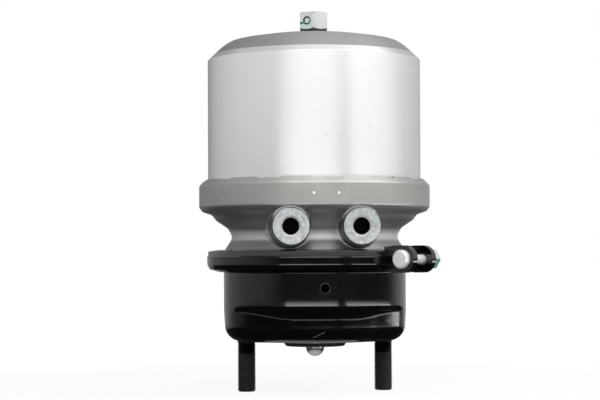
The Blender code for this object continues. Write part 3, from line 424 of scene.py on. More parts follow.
def ringOfBlocksTree():
    # equal blocks round the axis, each turned to face outwards
    tree, given = newTree("ringOfBlocks", {
        "Count": 12, "Radius": 0.09, "Height": 0.0, "Start": 0.0, "Size": (0.01, 0.01, 0.01),
    })
    circle = fromNode(tree, "GeometryNodeMeshCircle", {"Vertices": given["Count"], "Radius": given["Radius"]})
    raised = fromNode(tree, "GeometryNodeTransform", {
        "Geometry": circle, "Translation": combined(tree, z=given["Height"]),
        "Rotation": combined(tree, z=given["Start"]),
    })
    x, y, z = position(tree)
    block = fromNode(tree, "GeometryNodeMeshCube", {"Size": given["Size"]})
    ring = fromNode(tree, "GeometryNodeInstanceOnPoints", {
        "Points": raised, "Instance": block, "Rotation": combined(tree, z=y.math("ARCTAN2", x)),
    })
    return endTree(tree, given, ring)


coils = coilTree()
threads = threadTree()
blockRing = ringOfBlocksTree()
print("node trees built")


# finishes

port = {"aside": 29.75, "height": 99, "face": 93, "sides": (-1, 1)}
releasePin = {"facing": -36, "height": 280.95}
finishes = {}


def newMaterial(name):
    material = bpy.data.materials.new(name)
    material.use_nodes = True
    return material, material.node_tree


def newFinish(name, dark, light, rough, metallic=0.0, grain=900, patches=120, bumpScale=900, bump=0.2,
              bumpDepth=0.1, grainShare=0.5, stretch=(1, 1, 1), dress=None, others=None):
    # a metal, paint or rubber with grain, patches and a fine bump, and what dress adds to it
    finishes[name], tree = newMaterial(name)
    where = fromNode(tree, "ShaderNodeTexCoord", {}, "Object")
    stretched = fromNode(tree, "ShaderNodeMapping", {"Vector": where, "Scale": stretch})
    blotches = where.noise(patches, 4.0, 0.55, 0.4)
    both = stretched.noise(grain, 5.0, 0.6) * grainShare + blotches * (1 - grainShare)
    inputs = {
        "Base Color": both.ramp(0.32, 0.68).colour(dark, light),
        "Roughness": both.ramp(0.3, 0.7, *rough),
        "Normal": fromNode(tree, "ShaderNodeBump", {
            "Strength": bump, "Distance": bumpDepth * mm, "Height": stretched.noise(bumpScale, 3.0, 0.6),
        }),
        "Metallic": metallic, **(others or {}),
    }
    if "Coat Weight" in inputs:
        inputs["Coat Normal"] = inputs["Normal"]
    if dress:
        inputs.update(dress(where, inputs["Base Color"], inputs["Roughness"], blotches))
    for key, value in inputs.items():
        connect(tree.nodes["Principled BSDF"].inputs[key], value)


def nearSpot(where, spot, size, tall=1.0):
    # 1 within a small spot given in millimetres, and 0 away from it
    return where.offset(spot, (1, 1, 1 / tall)).ramp(size * mm, size * 0.6 * mm)


def dressTurned(where, colour, rough, patches):
    # bright turned wall and chamfer with a few dents, and a matt cast crown above them
    dents = [  # place, size and how much taller than wide
        ((-0.3, -93.5, 175.4), 0.9, 1.6), ((9.8, -93.0, 175.5), 0.7, 1.2), ((37.7, -85.5, 183.6), 0.5, 6),
        ((-0.4, -93.5, 188.0), 0.4, 2), ((10.4, -92.9, 170.0), 0.8, 1), ((-73.0, -58.4, 152.2), 0.8, 1.4),
        ((-75.5, -55.0, 150.8), 0.5, 1), ((75.7, -54.9, 236.6), 0.5, 3),
    ]
    worn = 0.0
    for spot, size, tall in dents:
        worn = nearSpot(where, spot, size, tall).greater(worn)
    edge = where.apart()[2].ramp(250.4 * mm, 251.0 * mm)
    crown = patches.colour((0.245, 0.249, 0.254), (0.33, 0.334, 0.34))
    return {
        "Tangent": where.into("ShaderNodeTangent", {}, direction_type="RADIAL", axis="Z"),
        "Base Color": edge.colour((worn * 0.5).colour(colour, 0.42), crown),
        "Roughness": edge.number(rough, 0.62), "Metallic": edge * -0.7 + 1.0,
    }


def dressCasting(where, colour, rough, patches):
    # two bright pips in darker rings on the rim, a painted highlight as a lighter, less metallic band round
    # the neck, painted shade below the neck, and painted shade on the walls round the ports
    marks = {"pips": [(-11.4, -100.8, 126.5), (9.4, -101.0, 126.5)], "size": 2.5, "neck": (86.5, 97.5)}
    x, y, z = where.apart()
    low, high = marks["neck"]
    # painted highlight: the neck band is lighter and less metallic, standing in for the light that falls on
    # it
    band = z.ramp(low * mm, (low + 3) * mm) * z.ramp(high * mm, (high - 3) * mm)
    shade = (band * 0.85).colour(colour, (0.82, 0.82, 0.8))
    # painted shade: darker below the neck
    shade = z.ramp(88.5 * mm, 86 * mm, 0.0, 0.45).colour(shade, (0.16, 0.16, 0.155))
    up = z - port["height"] * mm
    reach = (x.size() - port["aside"] * mm).diagonal(up)
    # painted shade: the walls round the ports are darker, and darker still below the port axis
    wall = reach.ramp(18.5 * mm, 17.8 * mm) * y.ramp(-71 * mm, -76 * mm) * up.ramp(10 * mm, 5 * mm, 0.0, 0.9)
    shade = wall.colour(shade, (0.06, 0.068, 0.068))
    rings = 0.0
    pips = 0.0
    for spot in marks["pips"]:
        rings = nearSpot(where, spot, marks["size"]).greater(rings)
        pips = nearSpot(where, spot, marks["size"] * 0.7).greater(pips)
    shade = (rings * 0.35).colour(shade, (0.12, 0.12, 0.115))
    return {"Base Color": pips.colour(shade, (0.82, 0.82, 0.81)), "Metallic": band * -0.6 + 0.85}


def dressPaint(where, colour, rough, patches):
    # a painted highlight as a lighter broken ring at the drain hole's edge, bare steel in one scratch under
    # the base, and a lighter, rougher patch on the right lobe
    marks = {"drainHeight": 47, "ring": 4.5, "start": (-9.4, 5.2), "way": (0.901, 0.434), "length": 11.8,
             "rubbed": (66, -40.5, 19.5)}
    x, y, z = where.apart()
    away = x.diagonal(z - marks["drainHeight"] * mm)
    # painted highlight: a lighter broken ring round the drain hole's edge
    ring = away.ramp(marks["ring"] * mm, (marks["ring"] - 0.3) * mm) * where.noise(700).ramp(0.48, 0.56)
    across = x - marks["start"][0] * mm
    rise = z - marks["start"][1] * mm
    level, steep = marks["way"]
    along = across * level + rise * steep
    aside = rise * level - across * steep
    within = along.ramp(0, 0.6 * mm) * along.ramp(marks["length"] * mm, (marks["length"] - 2) * mm)
    scratch = aside.size().ramp(0.5 * mm, 0.2 * mm) * within * 0.5
    # the scratch is bare steel, and the drain ring beside it is a painted highlight
    scratchHighlightAndPatch = ring.greater(scratch) * y.ramp(-60 * mm, -61 * mm)
    # a lighter, rougher patch on the right lobe
    reach = where.noise(150, 5.0) * (12 * mm) + where.offset(marks["rubbed"], (0.75, 0.75, 1.3))
    scratchHighlightAndPatch = scratchHighlightAndPatch.greater(reach.ramp(13.5 * mm, 8.5 * mm) * 0.7)
    return {"Base Color": scratchHighlightAndPatch.colour(colour, 0.24), "Roughness": scratchHighlightAndPatch.number(rough, 0.5)}


def dressHexagon(where, colour, rough, patches):
    # green sealing lacquer, brushed over the left flat and round the pin
    out = direction(releasePin["facing"])
    across = where.vector("DOT_PRODUCT", (-out.y, out.x, 0))
    up = where.apart()[2] - releasePin["height"] * mm
    wander = where.noise(520, 4.0) * (1.6 * mm) - 0.8 * mm
    away = across.diagonal(up) + wander
    onFlat = where.vector("DOT_PRODUCT", out).ramp(10.6 * mm, 11.2 * mm)
    ring = away.ramp(4.1 * mm, 3.6 * mm) * away.ramp(2.0 * mm, 2.6 * mm)
    tail = across.ramp(-3.0 * mm, -3.6 * mm) * (up + 2 * mm + wander).size().ramp(1.2 * mm, 0.7 * mm)
    line = onFlat * ring.greater(tail)
    wash = onFlat * (up + wander * 2.0).ramp(2.5 * mm, -2.5 * mm, 0.0, 0.75)
    tinted = wash.colour(colour, (0.6, 0.78, 0.68))
    return {"Base Color": line.colour(tinted, (0.015, 0.13, 0.085)), "Metallic": line * -0.9 + 1.0}


def dressStud(where, colour, rough, patches):
    # the black paint of the cup runs down over the first threads
    painted = (patches * (2 * mm) + where.apart()[2]).ramp(-10.0 * mm, -9.3 * mm)
    return {"Base Color": painted.colour(colour, 0.004), "Roughness": painted.number(rough, 0.25)}


def dressNut(where, colour, rough, patches):
    # the nut's lower half dipped in the green lacquer
    edge = (patches * (3 * mm) + where.apart()[2]).ramp(72.8 * mm, 73.4 * mm)
    return {"Base Color": edge.colour(colour, (0.62, 0.63, 0.63))}


newFinish("castAluminium", (0.35, 0.352, 0.337), (0.44, 0.442, 0.425), (0.38, 0.5), 0.85, patches=28,
          grainShare=0.4, bumpScale=1100, bump=0.35, bumpDepth=0.25, dress=dressCasting)
newFinish("blackPaint", 0.001, 0.003, (0.1, 0.18), grain=400, patches=30, bumpScale=260, bump=0.12,
          bumpDepth=0.12, dress=dressPaint, others={"Coat Weight": 0.55, "Coat Roughness": 0.08})
newFinish("zincPlate", (0.34, 0.37, 0.38), (0.74, 0.76, 0.76), (0.3, 0.46), 1.0, patches=320,
          grainShare=0.3, bumpScale=700, bump=0.45)
newFinish("phosphateSteel", (0.02, 0.018, 0.016), (0.05, 0.045, 0.04), (0.42, 0.6), 0.4, bumpScale=1400,
          bump=0.25)
newFinish("plainSteel", 0.38, (0.52, 0.52, 0.53), (0.28, 0.42), 1.0, 700, 60, bump=0.15, bumpDepth=0.08)
newFinish("springSteel", (0.02, 0.02, 0.023), (0.045, 0.045, 0.05), (0.35, 0.5), 0.3, 700, 60, 700, 0.15)
newFinish("boreShade", 0.001, 0.004, (0.4, 0.6), bump=0.1, bumpDepth=0.05, others={"IOR": 1.12})
# a dark copy of the zinc, painted shade on the port bushes' sides
newFinish("dimZinc", (0.03, 0.036, 0.037), (0.11, 0.12, 0.125), (0.32, 0.5), 1.0, patches=200, bumpDepth=0.08)
newFinish("boltZinc", (0.86, 0.87, 0.86), (0.97, 0.97, 0.96), (0.2, 0.34), 0.3, 800, 160, 800, bumpDepth=0.08)
newFinish("wornEdge", (0.2, 0.19, 0.19), (0.7, 0.68, 0.68), (0.25, 0.45), 1.0, patches=300, bump=0.3)
newFinish("millCut", (0.6, 0.6, 0.59), (0.74, 0.74, 0.73), (0.3, 0.45), 0.9, patches=90, bumpScale=1200,
          bumpDepth=0.06)
newFinish("hexZinc", (0.62, 0.63, 0.63), 0.84, (0.25, 0.42), 1.0, 700, 90, bumpDepth=0.08, dress=dressHexagon)
newFinish("nutZinc", (0.2, 0.5, 0.42), (0.4, 0.7, 0.62), (0.3, 0.45), 0.4, 500, 160, bumpDepth=0.08,
          dress=dressNut)
newFinish("ballSteel", 0.7, 0.82, (0.26, 0.34), 0.9, 600, 90, bump=0.08, bumpDepth=0.05)
newFinish("studSteel", (0.03, 0.027, 0.024), (0.06, 0.055, 0.05), (0.4, 0.55), 0.35, bumpScale=1400,
          bump=0.25, dress=dressStud)
newFinish("rubber", 0.008, (0.018, 0.018, 0.017), (0.5, 0.7), grain=800, patches=60, bumpScale=1200)
newFinish("bearingPlastic", (0.6, 0.56, 0.45), (0.75, 0.7, 0.58), (0.4, 0.55), grain=500, patches=50,
          bumpScale=700, bump=0.1)
newFinish("turnedAluminium", (0.83, 0.83, 0.828), 0.885, (0.27, 0.34), 1.0, 30, 14, 60, 0.05, 0.05, 0.7,
          (1, 1, 60), dressTurned, {"Anisotropic": 0.75, "Anisotropic Rotation": 0.25})
print("finishes made")


# camera, light and stage

cameraSide = -6.3


def setCamera():
    view = {"distance": 1.6, "height": 0.075, "pitch": 1.735, "yaw": 0.454, "roll": -0.27, "lens": 108.96}
    side = math.radians(cameraSide)
    spot = Vector((view["distance"] * math.sin(side), -view["distance"] * math.cos(side), view["height"]))
    heading = math.radians(-cameraSide - view["yaw"])
    turn = Matrix.Rotation(-heading, 4, "Z") @ Matrix.Rotation(math.radians(90 + view["pitch"]), 4, "X")
    turn = turn @ Matrix.Rotation(math.radians(view["roll"]), 4, "Z")
    camera = bpy.data.objects.new("camera", bpy.data.cameras.new("camera"))
    camera.matrix_world = Matrix.Translation(spot) @ turn
    camera.data.lens = view["lens"]
    camera.data.sensor_width = 36
    camera.data.clip_start = 0.05
    scene.collection.objects.link(camera)
    scene.camera = camera


def softbox(name, azimuth, elevation, distance, width, height, power, glossy=True):
    # azimuth is measured from the camera's side, to the right in the picture
    rise = math.radians(elevation)
    way = direction(azimuth + cameraSide) * math.cos(rise) + Vector((0, 0, math.sin(rise)))
    lamp = bpy.data.lights.new(name, "AREA")
    lamp.shape = "RECTANGLE"
    lamp.size = width
    lamp.size_y = height
    lamp.energy = power
    box = bpy.data.objects.new(name, lamp)
    turn = way.to_track_quat("Z", "Y").to_matrix().to_4x4()
    box.matrix_world = Matrix.Translation(Vector((0, 0, 0.13)) + way * distance) @ turn
    box.visible_glossy = glossy
    scene.collection.objects.link(box)


def seenDirectly(tree):
    # 1 for a ray from the camera or a reflection, and 0 for one that only carries light
    rays = addNode(tree, "ShaderNodeLightPath", {}).outputs
    seen = Output(rays["Is Camera Ray"])
    for kind in ("Is Glossy Ray", "Is Transmission Ray"):
        seen = seen.greater(Output(rays[kind]))
    return seen


def setWorld():
    light = {"seen": 1.0, "diffuse": 0.2}
    world = bpy.data.worlds.new("studio")
    scene.world = world
    world.use_nodes = True
    inputs = world.node_tree.nodes["Background"].inputs
    connect(inputs["Color"], (1, 1, 1, 1))
    connect(inputs["Strength"], seenDirectly(world.node_tree).ramp(0.0, 1.0, light["diffuse"], light["seen"]))


def glowing(tree, strength):
    return fromNode(tree, "ShaderNodeEmission", {"Color": (1, 1, 1, 1), "Strength": strength})


def setFloor():
    floor = {"height": -44.6, "half": 6.0, "shadow": 0.16, "glow": 1.1, "near": 0.35, "far": 0.9}
    shape = bmesh.new()
    half = floor["half"]
    corners = [(-half, -half), (half, -half), (half, half), (-half, half)]
    shape.faces.new([shape.verts.new((x, y, floor["height"] * mm)) for x, y in corners])
    plane = newPiece("floor", shape)
    white, tree = newMaterial("floorWhite")
    shader = tree.nodes["Principled BSDF"]
    connect(shader.inputs["Base Color"], (0.5, 0.5, 0.5, 1))
    connect(shader.inputs["Roughness"], 0.9)
    away = fromNode(tree, "ShaderNodeTexCoord", {}, "Object").vector("LENGTH")
    clear = away.ramp(floor["near"], floor["far"], 1 - floor["shadow"], 1.0)
    mixed = fromNode(tree, "ShaderNodeMixShader", {
        0: seenDirectly(tree) * clear, 1: Output(shader.outputs[0]), 2: glowing(tree, floor["glow"]),
    })
    connect(tree.nodes["Material Output"].inputs["Surface"], mixed)
    plane.data.materials.append(white)


def roundTheAxis(where, around):
    # brightness by the angle to the right of the camera's side
    x, y, z = where.apart()
    angle = x.math("ARCTAN2", y * -1.0)
    share = (angle * (0.5 / math.pi) + (0.5 - cameraSide / 360)).math("FRACT")
    bands = addNode(where.socket.id_data, "ShaderNodeValToRGB", {0: share})
    stops = bands.color_ramp.elements
    for i, (azimuth, brightness) in enumerate(around.items()):
        stop = stops[i] if i < 2 else stops.new(0.999)
        stop.position = (azimuth + 180) / 360
        stop.color = (brightness, brightness, brightness, 1)
    return Output(bands.outputs[0])


def reflectionCard(name, rings, fromAngle, toAngle, brightness, steps=48):
    # a curved card seen only in reflections, through rings of (radius, height) in metres;
    # its brightness is one number, two for its inner and outer edge, or one for each angle
    shape = bmesh.new()
    columns = []
    for i in range(steps + 1):
        out = direction(fromAngle + (toAngle - fromAngle) * i / steps + cameraSide)
        columns.append([shape.verts.new((out.x * r, out.y * r, z)) for r, z in rings])
    for here, there in zip(columns, columns[1:]):
        for k in range(len(rings) - 1):
            shape.faces.new((here[k], there[k], there[k + 1], here[k + 1]))
    card = newPiece(name, shape, weld=False)
    light, tree = newMaterial(name)
    light.cycles.emission_sampling = "NONE"
    tree.nodes.remove(tree.nodes["Principled BSDF"])
    where = fromNode(tree, "ShaderNodeTexCoord", {}, "Object")
    if isinstance(brightness, dict):
        brightness = roundTheAxis(where, brightness)
    elif isinstance(brightness, tuple):
        brightness = where.vector("LENGTH").ramp(0.5, 0.9, *brightness)
    connect(tree.nodes["Material Output"].inputs["Surface"], glowing(tree, brightness))
    card.data.materials.append(light)
    card.visible_camera = False
    card.visible_diffuse = False
    card.visible_shadow = False
    card.visible_transmission = False


def setCards():
    ground = -0.0442
    outer = [(0.45, ground), (0.9, ground)]
    reflectionCard("upperWalls", [(2.4, -0.3), (2.4, 2.2)], -180, 180, {
        -180: 0.22, -150: 0.33, -131: 0.51, -99: 0.69, -75: 0.78, -55: 0.84, -36: 0.84, -27: 0.89, -8: 0.915,
        15: 0.905, 33: 0.86, 50: 0.81, 72: 0.85, 94: 0.84, 124: 0.67, 147: 0.57, 180: 0.32,
    }, 96)
    reflectionCard("lowerWalls", [(0.9, ground), (0.9, 0.088)], -180, 180, {
        -180: 0.4, -130: 0.3, -110: 0.34, -82: 0.34, -68: 0.32, -56: 0.24, -45: 0.12, -36: 0.02, -30: 0.005,
        80: 0.01, 95: 0.04, 104: 0.1, 110: 0.25, 120: 0.45, 180: 0.5,
    }, 96)
    reflectionCard("ceiling", [(2.4, 2.2), (0.01, 2.2)], -180, 180, {
        -180: 0.5, -120: 0.6, -60: 0.72, 0: 0.8, 60: 0.84, 120: 0.8, 180: 0.5,
    })
    reflectionCard("ballGround", [(0.004, ground), (0.055, ground)], -180, 180, 0.45)
    reflectionCard("darkGround", [(0.055, ground), (0.45, ground)], -180, 180, 0.02)
    reflectionCard("greyGround", outer, -180, -35, 0.2)
    reflectionCard("greyGroundRight", outer, 104, 180, 0.3)
    reflectionCard("stripGap", outer, 27, 37, 0.1)
    reflectionCard("stripLeft", outer, -35, 27, (4.6, 0.92))
    reflectionCard("stripRight", outer, 37, 104, (5.4, 1.08))


setCamera()
setWorld()
setFloor()
setCards()
softbox("softboxFront", -1, 52, 2.2, 1.7, 1.2, 22)
softbox("softboxRight", 69, 46, 2.2, 1.9, 1.2, 24)
softbox("fillFront", 12, 8, 2.3, 2.0, 0.9, 14, glossy=False)
scene.view_settings.view_transform = "Standard"
print("camera and light set")


# spring housing

def makeSpringHousing():
    pot = {"top": 269.7, "bore": 10.2, "sides": 160, "lugs": 12}
    crown = throughPoints([
        (18, 269.7), (39.4, 268.1), (57.1, 265.5), (71.5, 262.9), (76.5, 260.7), (81.5, 257.4),
    ], 4)
    outside = [(pot["bore"], pot["top"], 0.5)] + crown + roundCorners([
        (81.5, 257.4), (88.4, 250.8, 3), (93.5, 245.8, 0.35), (93.5, 125.7, 0.3), (91.5, 125.7),
        (91.5, 121.7),
    ])[1:]
    inside = roundCorners([
        (89, 121.7), (89, 242.8, 3), (73, 258.1, 1), (55, 258.1, 1), (53, 260.8, 1), (24.5, 263.8, 3),
        (18.5, 251.2, 1), (14.2, 251.2), (14.2, 256.2), (10.2, 256.2), (10.2, 269.7),
    ])[:-1]
    wall = turned("springHousing", outside + inside, pot["sides"], True, 2)
    lugs = grow(
        "lugs", blockRing, "turnedAluminium", Count=pot["lugs"], Radius=94 * mm, Height=131 * mm,
        Start=math.radians(15), Size=(4 * mm, 20 * mm, 6 * mm),
    )
    piece = joined("springHousing", [wall, lugs])
    settle(piece, "turnedAluminium", "housings", "spring_housing")


makeSpringHousing()
print("spring housing made")


# flange housing

def portReach(x, z):
    # distance from the nearer port's axis
    return math.hypot(abs(x) - port["aside"], z - port["height"])


def portPlace(side, y=0):
    # at a port, and facing out of it
    return lying((side * port["aside"], y, port["height"]), (0, -1, 0))


def ontoOutline(mesh, outline):
    # takes out the voxel steps: points clear of the bosses go back onto the turned outline
    spots = []
    for a, b in zip(outline, outline[1:]):
        a, b = Vector(a), Vector(b)
        count = max(1, int((b - a).length / 0.05))
        spots += [a.lerp(b, k / count) for k in range(count)]
    tree = KDTree(len(spots))
    for i, spot in enumerate(spots):
        tree.insert((spot.x, spot.y, 0), i)
    tree.balance()
    for vert in mesh.vertices:
        x, y, z = vert.co / mm
        share = 1 if y > -30 else eased((portReach(x, z) - 20) / 5)
        radius = math.hypot(x, y)
        if share == 0 or radius < 60:
            continue
        near = tree.find((radius, z, 0))[0]
        wider = (1 + share * (near.x / radius - 1)) * mm
        vert.co = (x * wider, y * wider, (z + share * (near.y - z)) * mm)
    mesh.update()


def makeFlangeHousing():
    body = {"sides": 160, "voxel": 1.1, "smooth": 6, "gates": 12}
    outline = roundCorners([
        (0, 144), (93.5, 144), (101.4, 135.6, 1.2), (101.4, 116.8, 1.4), (98.6, 113.1, 1.6),
        (90.2, 110.2, 1.6), (86.6, 105.4, 2.5), (76.5, 98.6, 4), (73.0, 92.8, 5), (73.0, 89, 4),
        (79.6, 78.6, 2), (90.5, 74.2, 0.8), (90.5, 71), (0, 71),
    ])
    piece = turned("flangeHousing", outline, body["sides"])
    boss = [(0, 87.4), (16.6, 87.4, 0.8), (19.6, 43.7), (0, 43.7)]
    boolean(piece, [turned("boss", boss, 48, at=portPlace(side)) for side in port["sides"]], "UNION")
    remesh = piece.modifiers.new("remesh", "REMESH")
    remesh.mode = "VOXEL"
    remesh.voxel_size = body["voxel"] * mm
    soften = piece.modifiers.new("soften", "SMOOTH")
    soften.factor = 0.5
    soften.iterations = body["smooth"]
    ontoOutline(baked(piece).data, outline)
    tools = [
        turned("lowerVoid", [
            (0, 93.2), (29.3, 93.2, 2), (33.3, 99.4, 3), (61.2, 99.4, 5), (67.2, 91.4, 4), (67.2, 81.4, 2),
            (68.8, 76.9, 2), (74.4, 72.4), (96, 72.4), (96, 60), (0, 60),
        ], 112),
        turned("upperVoid", [
            (0, 160), (115, 160), (115, 140.8), (95, 140.8, 0.6), (93.9, 139.4), (93.9, 134.3), (97.2, 134.3),
            (97.2, 127.7), (93.9, 127.7), (93.9, 121.4, 0.5), (88, 121.4, 1), (74.8, 106, 5), (30.3, 106, 2),
            (29.3, 106.8), (0, 106.8),
        ], 144),
        turned("boreVoid", [
            (0, 112), (21.7, 112), (21.7, 106), (22.9, 106), (22.9, 104.2), (21.7, 104.2), (21.7, 94.4),
            (20.4, 94.4), (20.4, 88), (0, 88),
        ]),
    ]
    seat = [(0, 115), (18.2, 115), (18.2, 85.2, 0.6), (12.6, 85.2), (11.8, 84.4), (11.8, 73.4), (3.5, 73.4),
            (3.5, 49), (0, 49)]
    tools += [turned("seat", seat, at=portPlace(side)) for side in port["sides"]]
    tools.append(grow(
        "gates", blockRing, "castAluminium", Count=body["gates"], Radius=94.5 * mm, Height=144 * mm,
        Size=(6 * mm, 24 * mm, 20 * mm),
    ))
    boolean(piece, tools)
    settle(piece, "castAluminium millCut", "housings", "flange_housing")
    for face in piece.data.polygons:
        x, y, z = face.center / mm
        if y < -60 and z > 108 and portReach(x, z) < 18.3:  # the mill's cut over the ports
            face.material_index = 1
    print("flange housing has", len(piece.data.polygons), "faces")


makeFlangeHousing()


# service housing

studs = {"aside": 60.325, "end": -44, "sides": 40}


def baseForm(angle):
    # how far the base stands in from the wall and how high its crease lies, front to stud lobe
    side = abs(math.degrees(math.asin(math.cos(angle))))
    inset = (8 + 2 * min(side / 44, 1) ** 2) * (1 - eased((side - 40) / 30))
    return inset, 20.8 + 6 * eased((side - 20) / 48)


def cupSection(angle, cup):
    # the closed section at one angle, with the same number of points at every angle
    inset, crease = baseForm(angle)
    strength = min(inset / 8, 1)
    rounding = cup["rounding"]
    base = cup["radius"] - inset
    top = roundCorners([
        (90.5, 67.6, 0.5), (90.5, 65.6, 0.9), (81.2, 62.3, 1.5), (80, 59.9, 1.5), (80, 50),
    ], steps=5)
    outer = [(80, 43)]
    for k in range(7):
        share = k / 6
        draft = (0.012 + 0.031 * share) * share * (cup["shoulder"] - cup["knee"]) * strength
        outer.append((cup["radius"] - draft, cup["shoulder"] + (cup["knee"] - cup["shoulder"]) * share))
    for k in range(1, 11):
        share = k / 10
        turnedIn = draft + (inset - draft) * (0.13 * share + 0.87 * share ** 1.8)
        outer.append((cup["radius"] - turnedIn, cup["knee"] + (crease - cup["knee"]) * share))
    radius = base
    height = crease
    for drop, slope in ((0.3, 0.4), (0.4, 0.06), (0.6, -0.14), (1.4, -0.14), (1.5, -0.14)):
        radius += drop * slope * (strength if slope > 0 else 0.45 + 0.55 * strength)
        height -= drop
        outer.append((radius, height))
    begin = math.radians(2.6)
    low = rounding * (1 - math.sin(begin))
    radius -= (0.06 + 0.08 * strength) * (height - low - 1.5)
    outer.append((radius, low + 1.5))
    radius -= 1.5 * math.tan(begin)
    middle = radius - rounding * math.cos(begin)
    for k in range(12):
        turn = begin + (math.pi / 2 - begin) * k / 11
        outer.append((middle + rounding * math.cos(turn), rounding * (1 - math.sin(turn))))
    recess = cup["recess"]
    under = [(28.2, 0), (28, 0.1), (28, recess), (22.4, recess), (22, 0.9), (22, 3.6), (22.4, 4)]
    inner = []
    for k in range(7):
        turn = math.radians(90 - 15 * k)
        inner.append((middle + 10 * math.cos(turn), rounding - 10 * math.sin(turn)))
    inner += [(base - 3.8, crease + 2), (76, cup["shoulder"] + 2), (76, 63.6), (78, 67.6)]
    return top + outer + under + inner


def makeServiceHousing():
    cup = {"columns": 240, "radius": 80, "shoulder": 38, "knee": 31.5, "rounding": 14, "recess": 0.5}
    shape = bmesh.new()
    columns = []
    for i in range(cup["columns"]):
        angle = 2 * math.pi * i / cup["columns"]
        across, along = math.cos(angle) * mm, math.sin(angle) * mm
        section = cupSection(angle, cup)
        columns.append([shape.verts.new((r * across, r * along, z * mm)) for r, z in section])
    skin(shape, columns, True)
    piece = newPiece("serviceHousing", shape, 45)
    drain = [(0, 200), (4, 200), (4, -200), (0, -200)]
    holes = [turned("drain", drain, 32, at=lying((0, 0, 47), (0, -1, 0)))]
    for side in (-1, 1):
        spot = Matrix.Translation((side * studs["aside"] * mm, 0, 0))
        holes.append(turned("studHole", [(0, 8), (8.3, 8), (8.3, -4), (0, -4)], 40, at=spot))
    boolean(piece, holes)
    settle(piece, "blackPaint", "housings", "service_housing")


makeServiceHousing()
print("service housing made")


# clamp ring with its ears, bolt and nut

clamp = {"angle": 44, "height": 70, "earGap": 18.4, "earThickness": 4.8, "boltRadius": 110,
         "notchAngle": 101, "lift": 1.2}
clampOut = direction(clamp["angle"])
clampAlong = Vector((clampOut.y * -1, clampOut.x, 0))
clampMiddle = Vector((0, 0, clamp["height"]))
earMiddle = clampMiddle + Vector((0, 0, clamp["lift"]))


def boxAt(name, middle, out, size):
    # a box in millimetres, its X along the direction out
    x, y, z = [s / 2 for s in size]
    piece = prism(name, [(-x, -y), (x, -y), (x, y), (-x, y)], -z, z)
    turn = Matrix((out, Vector((-out.y, out.x, 0)), Vector((0, 0, 1)))).transposed().to_4x4()
    return place(piece, Matrix.Translation(middle * mm) @ turn)


def makeClampRing():
    band = roundCorners([
        (83.3, 9.9, 0.9), (93.6, 8.5, 0.7), (93.9, 4.5, 0.2), (94.75, 3.7, 0.3), (94.72, 3.3),
        (94.58, 2.0), (94.58, -1.9), (94.43, -3.3, 0.6), (92.5, -7.2, 2.4),
        (83.3, -9.9, 0.9), (82.9, -7.6, 0.6), (91.3, -4.9, 0.8), (91.3, 4.9, 0.8), (82.9, 7.6, 0.6),
    ], True, 5)
    ring = turned("clampRing", [(r, z + clamp["height"]) for r, z in band], 160, True)
    tools = [boxAt("split", clampMiddle + clampOut * 92, clampOut, (30, 23.2, 30))]
    for side in (-1, 1):
        out = direction(clamp["angle"] + side * clamp["notchAngle"])
        tools.append(boxAt("notch", clampMiddle + out * 84.6, out, (13.4, 20, 30)))
    boolean(ring, tools)
    pieces = [ring]
    for side, thicker, further in ((-1, 1.2, 2.6), (1, 0, 0)):
        outline = [(90.5, -10.5), (102, -11.5)]
        for k in range(25):
            angle = math.radians(-90 + 180 * k / 24)
            outline.append((clamp["boltRadius"] + 11.5 * math.cos(angle), 11.5 * math.sin(angle)))
        outline += [(102, 11.5), (90.5, 10.5)]
        half = (clamp["earThickness"] + thicker) / 2
        ear = prism("ear", outline, -half, half, 0.7)
        spot = Matrix.Translation((clamp["boltRadius"] * mm, 0, 0))
        boolean(ear, [turned("earHole", [(0, 5), (5.5, 5), (5.5, -5), (0, -5)], 32, at=spot)])
        middle = clampAlong * side * (clamp["earGap"] / 2 + half + further) + earMiddle
        up = Vector((0, 0, 1))
        turn = Matrix((clampOut, up, clampOut.cross(up))).transposed().to_4x4()
        pieces.append(place(ear, Matrix.Translation(middle * mm) @ turn))
    piece = joined("clampRing", pieces)
    settle(piece, "blackPaint wornEdge", "housings", "clamp_ring")
    for face in piece.data.polygons:
        spot = face.center / mm - earMiddle
        slanted = 0.2 < abs(face.normal.dot(clampAlong)) < 0.95
        if -12.8 < spot.dot(clampAlong) < -11.7 and spot.dot(clampOut) > 100 and slanted:
            # paint rubbed off the gap's edge
            face.material_index = 1 if spot.z < -3 or 3 < spot.z < 9 else 0


def hexagon(width, turn=0.0):
    corner = width / 2 / math.cos(math.pi / 6)
    angles = [math.radians(60 * i) + turn for i in range(6)]
    return [(corner * math.cos(angle), corner * math.sin(angle)) for angle in angles]


def threaded(name, look, radius, depth, length, base, bottom, top, **others):
    # a sleeve of thread in millimetres, with the radii that its ends narrow to
    return grow(
        name, threads, look, Radius=radius * mm, Depth=depth * mm, Length=length * mm, Base=base * mm,
        BottomRadius=bottom * mm, TopRadius=top * mm, **others,
    )


